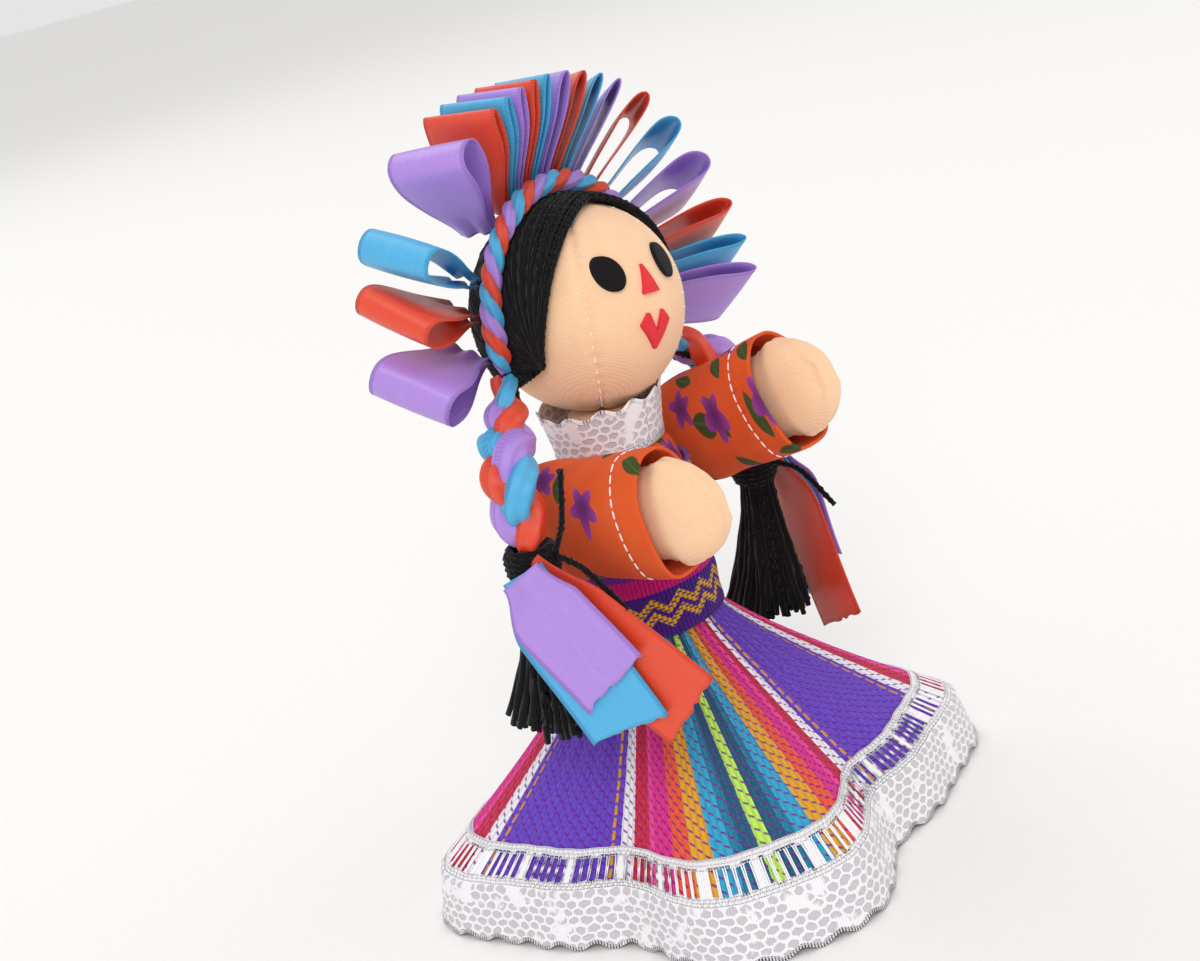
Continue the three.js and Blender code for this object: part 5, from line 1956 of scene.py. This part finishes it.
@dataclass
class Skirt:
    """The gathered skirt of striped cloth, and the lace sewn over its hem."""

    wardrobe: Wardrobe
    waist: float = 44.0
    drop: float = 34.0
    waist_half: Pair = (12.2, 11.2)
    hem_radius: float = 44.0
    flare: float = 1.15
    folds: int = 4
    fold_depth: float = 6.0
    crest: float = 54.0
    fold_start: float = 1.3
    ripples: int = 10
    ripple_depth: float = 1.2
    cloth_fall: float = 46.0
    cloth_share: float = 0.7
    cloth_inset: float = 0.45
    thickness: float = 0.8
    lace_flare: float = 0.25
    lace_top: float = 16.0
    lace_windows: float = 3.2
    lace_scallop: float = 6.5
    lace_cloth: float = 0.2
    lace_thread: float = 0.15
    gathers: int = 46
    line_angle: float = -36.0
    repeats: int = 3
    columns: int = 480
    rows: int = 70

    def surface(self, turn: Points, height: Points, offset: Points | float) -> Points:
        """Finds points on the skirt.

        Args:
            turn: Angles from the front towards the doll's left, in radians.
            height: Heights in millimetres.
            offset: How far outside the cloth the points lie.

        Returns:
            The points.
        """
        waist = np.hypot(self.waist_half[0] * np.sin(turn), self.waist_half[1] * np.cos(turn))
        share = np.clip((self.waist - height) / self.drop, 0, None)
        flare = np.where(share <= 1, share**self.flare, 1 + (share - 1) * self.lace_flare)
        near = np.minimum(share, 1)
        angle = turn - math.radians(self.crest)
        folds = self.fold_depth * np.cos(self.folds * angle)
        folds = folds + self.ripple_depth * np.cos(self.ripples * angle)
        gathers = np.cos(self.gathers * turn + 2 * np.sin(3 * turn)) * 0.42
        gathers = gathers * np.exp(-near * 3.2) * (0.3 + near * 4)
        sag = 0.35 * np.sin(7 * turn + near * 5) * near * (1 - near) * 2
        radius = waist + (self.hem_radius - waist) * flare + folds * near**self.fold_start
        radius = radius + gathers + sag + offset
        return np.stack([radius * np.sin(turn), -radius * np.cos(turn), height + 0 * radius], -1)

    def round_hem(self) -> tuple[Points, Points]:
        """Measures the hem: the angle at its points, and how far along it each lies."""
        turn = np.linspace(-math.pi, math.pi, self.columns + 1)
        hem = self.surface(turn, np.full_like(turn, self.waist - self.drop), 0.0)
        return turn, run_along(hem)

    def cloth(self) -> Piece:
        """Sews the skirt."""
        turn, reach = self.round_hem()
        centre = float(np.interp(math.radians(self.line_angle), turn, reach))
        finish = WovenStripes(repeat=float(reach[-1]) / self.repeats, centre=centre).material()
        heights = np.linspace(self.waist, self.waist - self.drop, self.rows)
        points = self.surface(turn[None, :-1], heights[:, None], -self.cloth_inset)
        flat = gridded(reach[None, :], run_along(points[:, 0])[:, None])
        sheet = sewn("striped_skirt", finish, points[:, ::-1], flat[:, ::-1], closed=True)
        return thickened(sheet, self.thickness)

    def lace(self) -> tuple[Piece, Piece]:
        """Lays the lace over the hem, its scalloped edge downwards: the net, then the threads on it."""
        turn, reach = self.round_hem()
        total = float(reach[-1])
        scallop = total / round(total / self.lace_scallop)
        pattern = LacePattern(total, self.lace_top - 0.2, self.lace_windows, scallop)

        def hung(flat: Points, offset: float) -> Points:
            """Hangs points of the flat lace on the skirt."""
            return self.surface(np.interp(flat[..., 0], reach, turn), self.lace_top - flat[..., 1], offset)

        corners, kept = pattern.ground()
        finish = LaceNet("hem_net", 5.5).material()
        sheet = sewn("hem_lace_net", finish, hung(corners, 0.4)[::-1], corners[::-1], kept=kept[::-1])
        lines = [hung(line, 0.55) for line in pattern.lines()]
        threads = self.wardrobe.wind("hem_lace_threads", lines, self.lace_thread, 5, self.wardrobe.lace, 0.0)
        return thickened(sheet, self.lace_cloth), threads

    def build(self) -> None:
        """Makes the skirt and its lace."""
        net, threads = self.lace()
        settle(net, "torso", "lace", "skirt_lace")
        settle(threads, "torso", "lace")
        skirt = settle(self.cloth(), "torso", "striped_cloth", "skirt")
        width, fall = float(self.round_hem()[1][-1]), self.cloth_fall


@dataclass(frozen=True)
class Lamp:
    """A soft square lamp: its name, its place and side in millimetres, and its power in watts."""

    name: str
    place: Triple
    side: float
    power: float


@dataclass
class Studio:
    """The pale floor, the soft light and the camera."""

    azimuth: float = -46.0
    elevation: float = 17.54
    roll: float = -15.59
    distance: float = 330.0
    focal_pixels: float = 1875.3
    target: Triple = (-5.14, 0.0, 72.8)
    picture_width: float = 1200.0
    sensor: float = 36.0
    nearest: float = 10.0
    room: float = 0.78
    lamps: tuple[Lamp, ...] = (Lamp("window", (-1600, -1300, 1700), 1300, 22.5),
                               Lamp("card", (1500, -1300, 900), 1300, 4.5),
                               Lamp("rim", (360, 1560, 1560), 1100, 7.0))
    floor_half: float = 60000.0
    floor_drop: float = 0.05

    def floor(self) -> None:
        """Lays the pale floor."""
        finish = FineGrain("pale_floor", "#f7f6f4", "#f0eeeb", size=2.0, detail=4, share=0.5, depth=0.05,
                           sheen=0.0)
        side = np.linspace(-self.floor_half, self.floor_half, 3)
        rows = gridded(side[None, :], side[:, None], -self.floor_drop)
        sewn("floor", finish.material(), rows)

    def light(self) -> None:
        """Sets the even light of the room, and hangs the lamps so that they face the doll."""
        scene = bpy.context.scene
        scene.world = scene.world or bpy.data.worlds.new("room")
        scene.world.use_nodes = True
        room = scene.world.node_tree.nodes["Background"]
        room.inputs["Color"].default_value = (1.0, 1.0, 1.0, 1.0)
        room.inputs["Strength"].default_value = self.room
        scene.view_settings.view_transform = "Standard"
        for lamp in self.lamps:
            data = bpy.data.lights.new(lamp.name, "AREA")
            data.size = lamp.side * MM
            data.energy = lamp.power
            hung = bpy.data.objects.new(lamp.name, data)
            hung.location = Vector(lamp.place) * MM
            away = hung.location - Vector(self.target) * MM
            hung.rotation_euler = away.to_track_quat("Z", "Y").to_euler()
            scene.collection.objects.link(hung)

    def camera(self) -> None:
        """Places the camera where the photograph was taken from."""
        turn, rise = math.radians(self.azimuth), math.radians(self.elevation)
        back = Vector((math.sin(turn) * math.cos(rise), -math.cos(turn) * math.cos(rise), math.sin(rise)))
        right = Vector((math.cos(turn), math.sin(turn), 0))
        up = back.cross(right)
        lean = math.radians(self.roll)
        across = right * math.cos(lean) + up * math.sin(lean)
        upward = up * math.cos(lean) - right * math.sin(lean)
        data = bpy.data.cameras.new("camera")
        data.sensor_width = self.sensor
        data.lens = self.focal_pixels / self.picture_width * self.sensor
        data.clip_start = self.nearest * MM
        camera = bpy.data.objects.new("camera", data)
        place = (Vector(self.target) + back * self.distance) * MM
        camera.matrix_world = Matrix((across, upward, back)).transposed().to_4x4()
        camera.location = place
        bpy.context.scene.collection.objects.link(camera)
        bpy.context.scene.camera = camera

    def build(self) -> None:
        """Makes the studio."""
        self.floor()
        self.light()
        self.camera()


def main() -> None:
    """Builds the doll, its clothes and the studio in order."""
    logging.basicConfig(level=logging.INFO, format="%(name)s: %(message)s")
    Studio().build()
    wardrobe = Wardrobe()
    place = HeadPlace.from_record()
    Torso(wardrobe).build()
    Head(wardrobe, place).build()
    Hair(wardrobe, place).build()
    Headdress(wardrobe, place).build()
    HangingBraid(wardrobe, place, "right", -1, drop=22.0, y=-9.0, knee=85.0, fan_share=1.0).build()
    HangingBraid(wardrobe, place, "left", 1, drop=29.0, y=-2.0, knee=78.0, fan_share=0.4).build()
    for side, sign in SIDES:
        Leg(wardrobe, side, sign).build()
    Arm(wardrobe, "right", (-20.8, -2.0, 72.0), pitch=5.0, turn=0.0).build()
    Arm(wardrobe, "left", (20.8, -2.0, 72.0), pitch=18.0, turn=-6.0).build()
    Skirt(wardrobe).build()


if __name__ == "__main__":
    main()
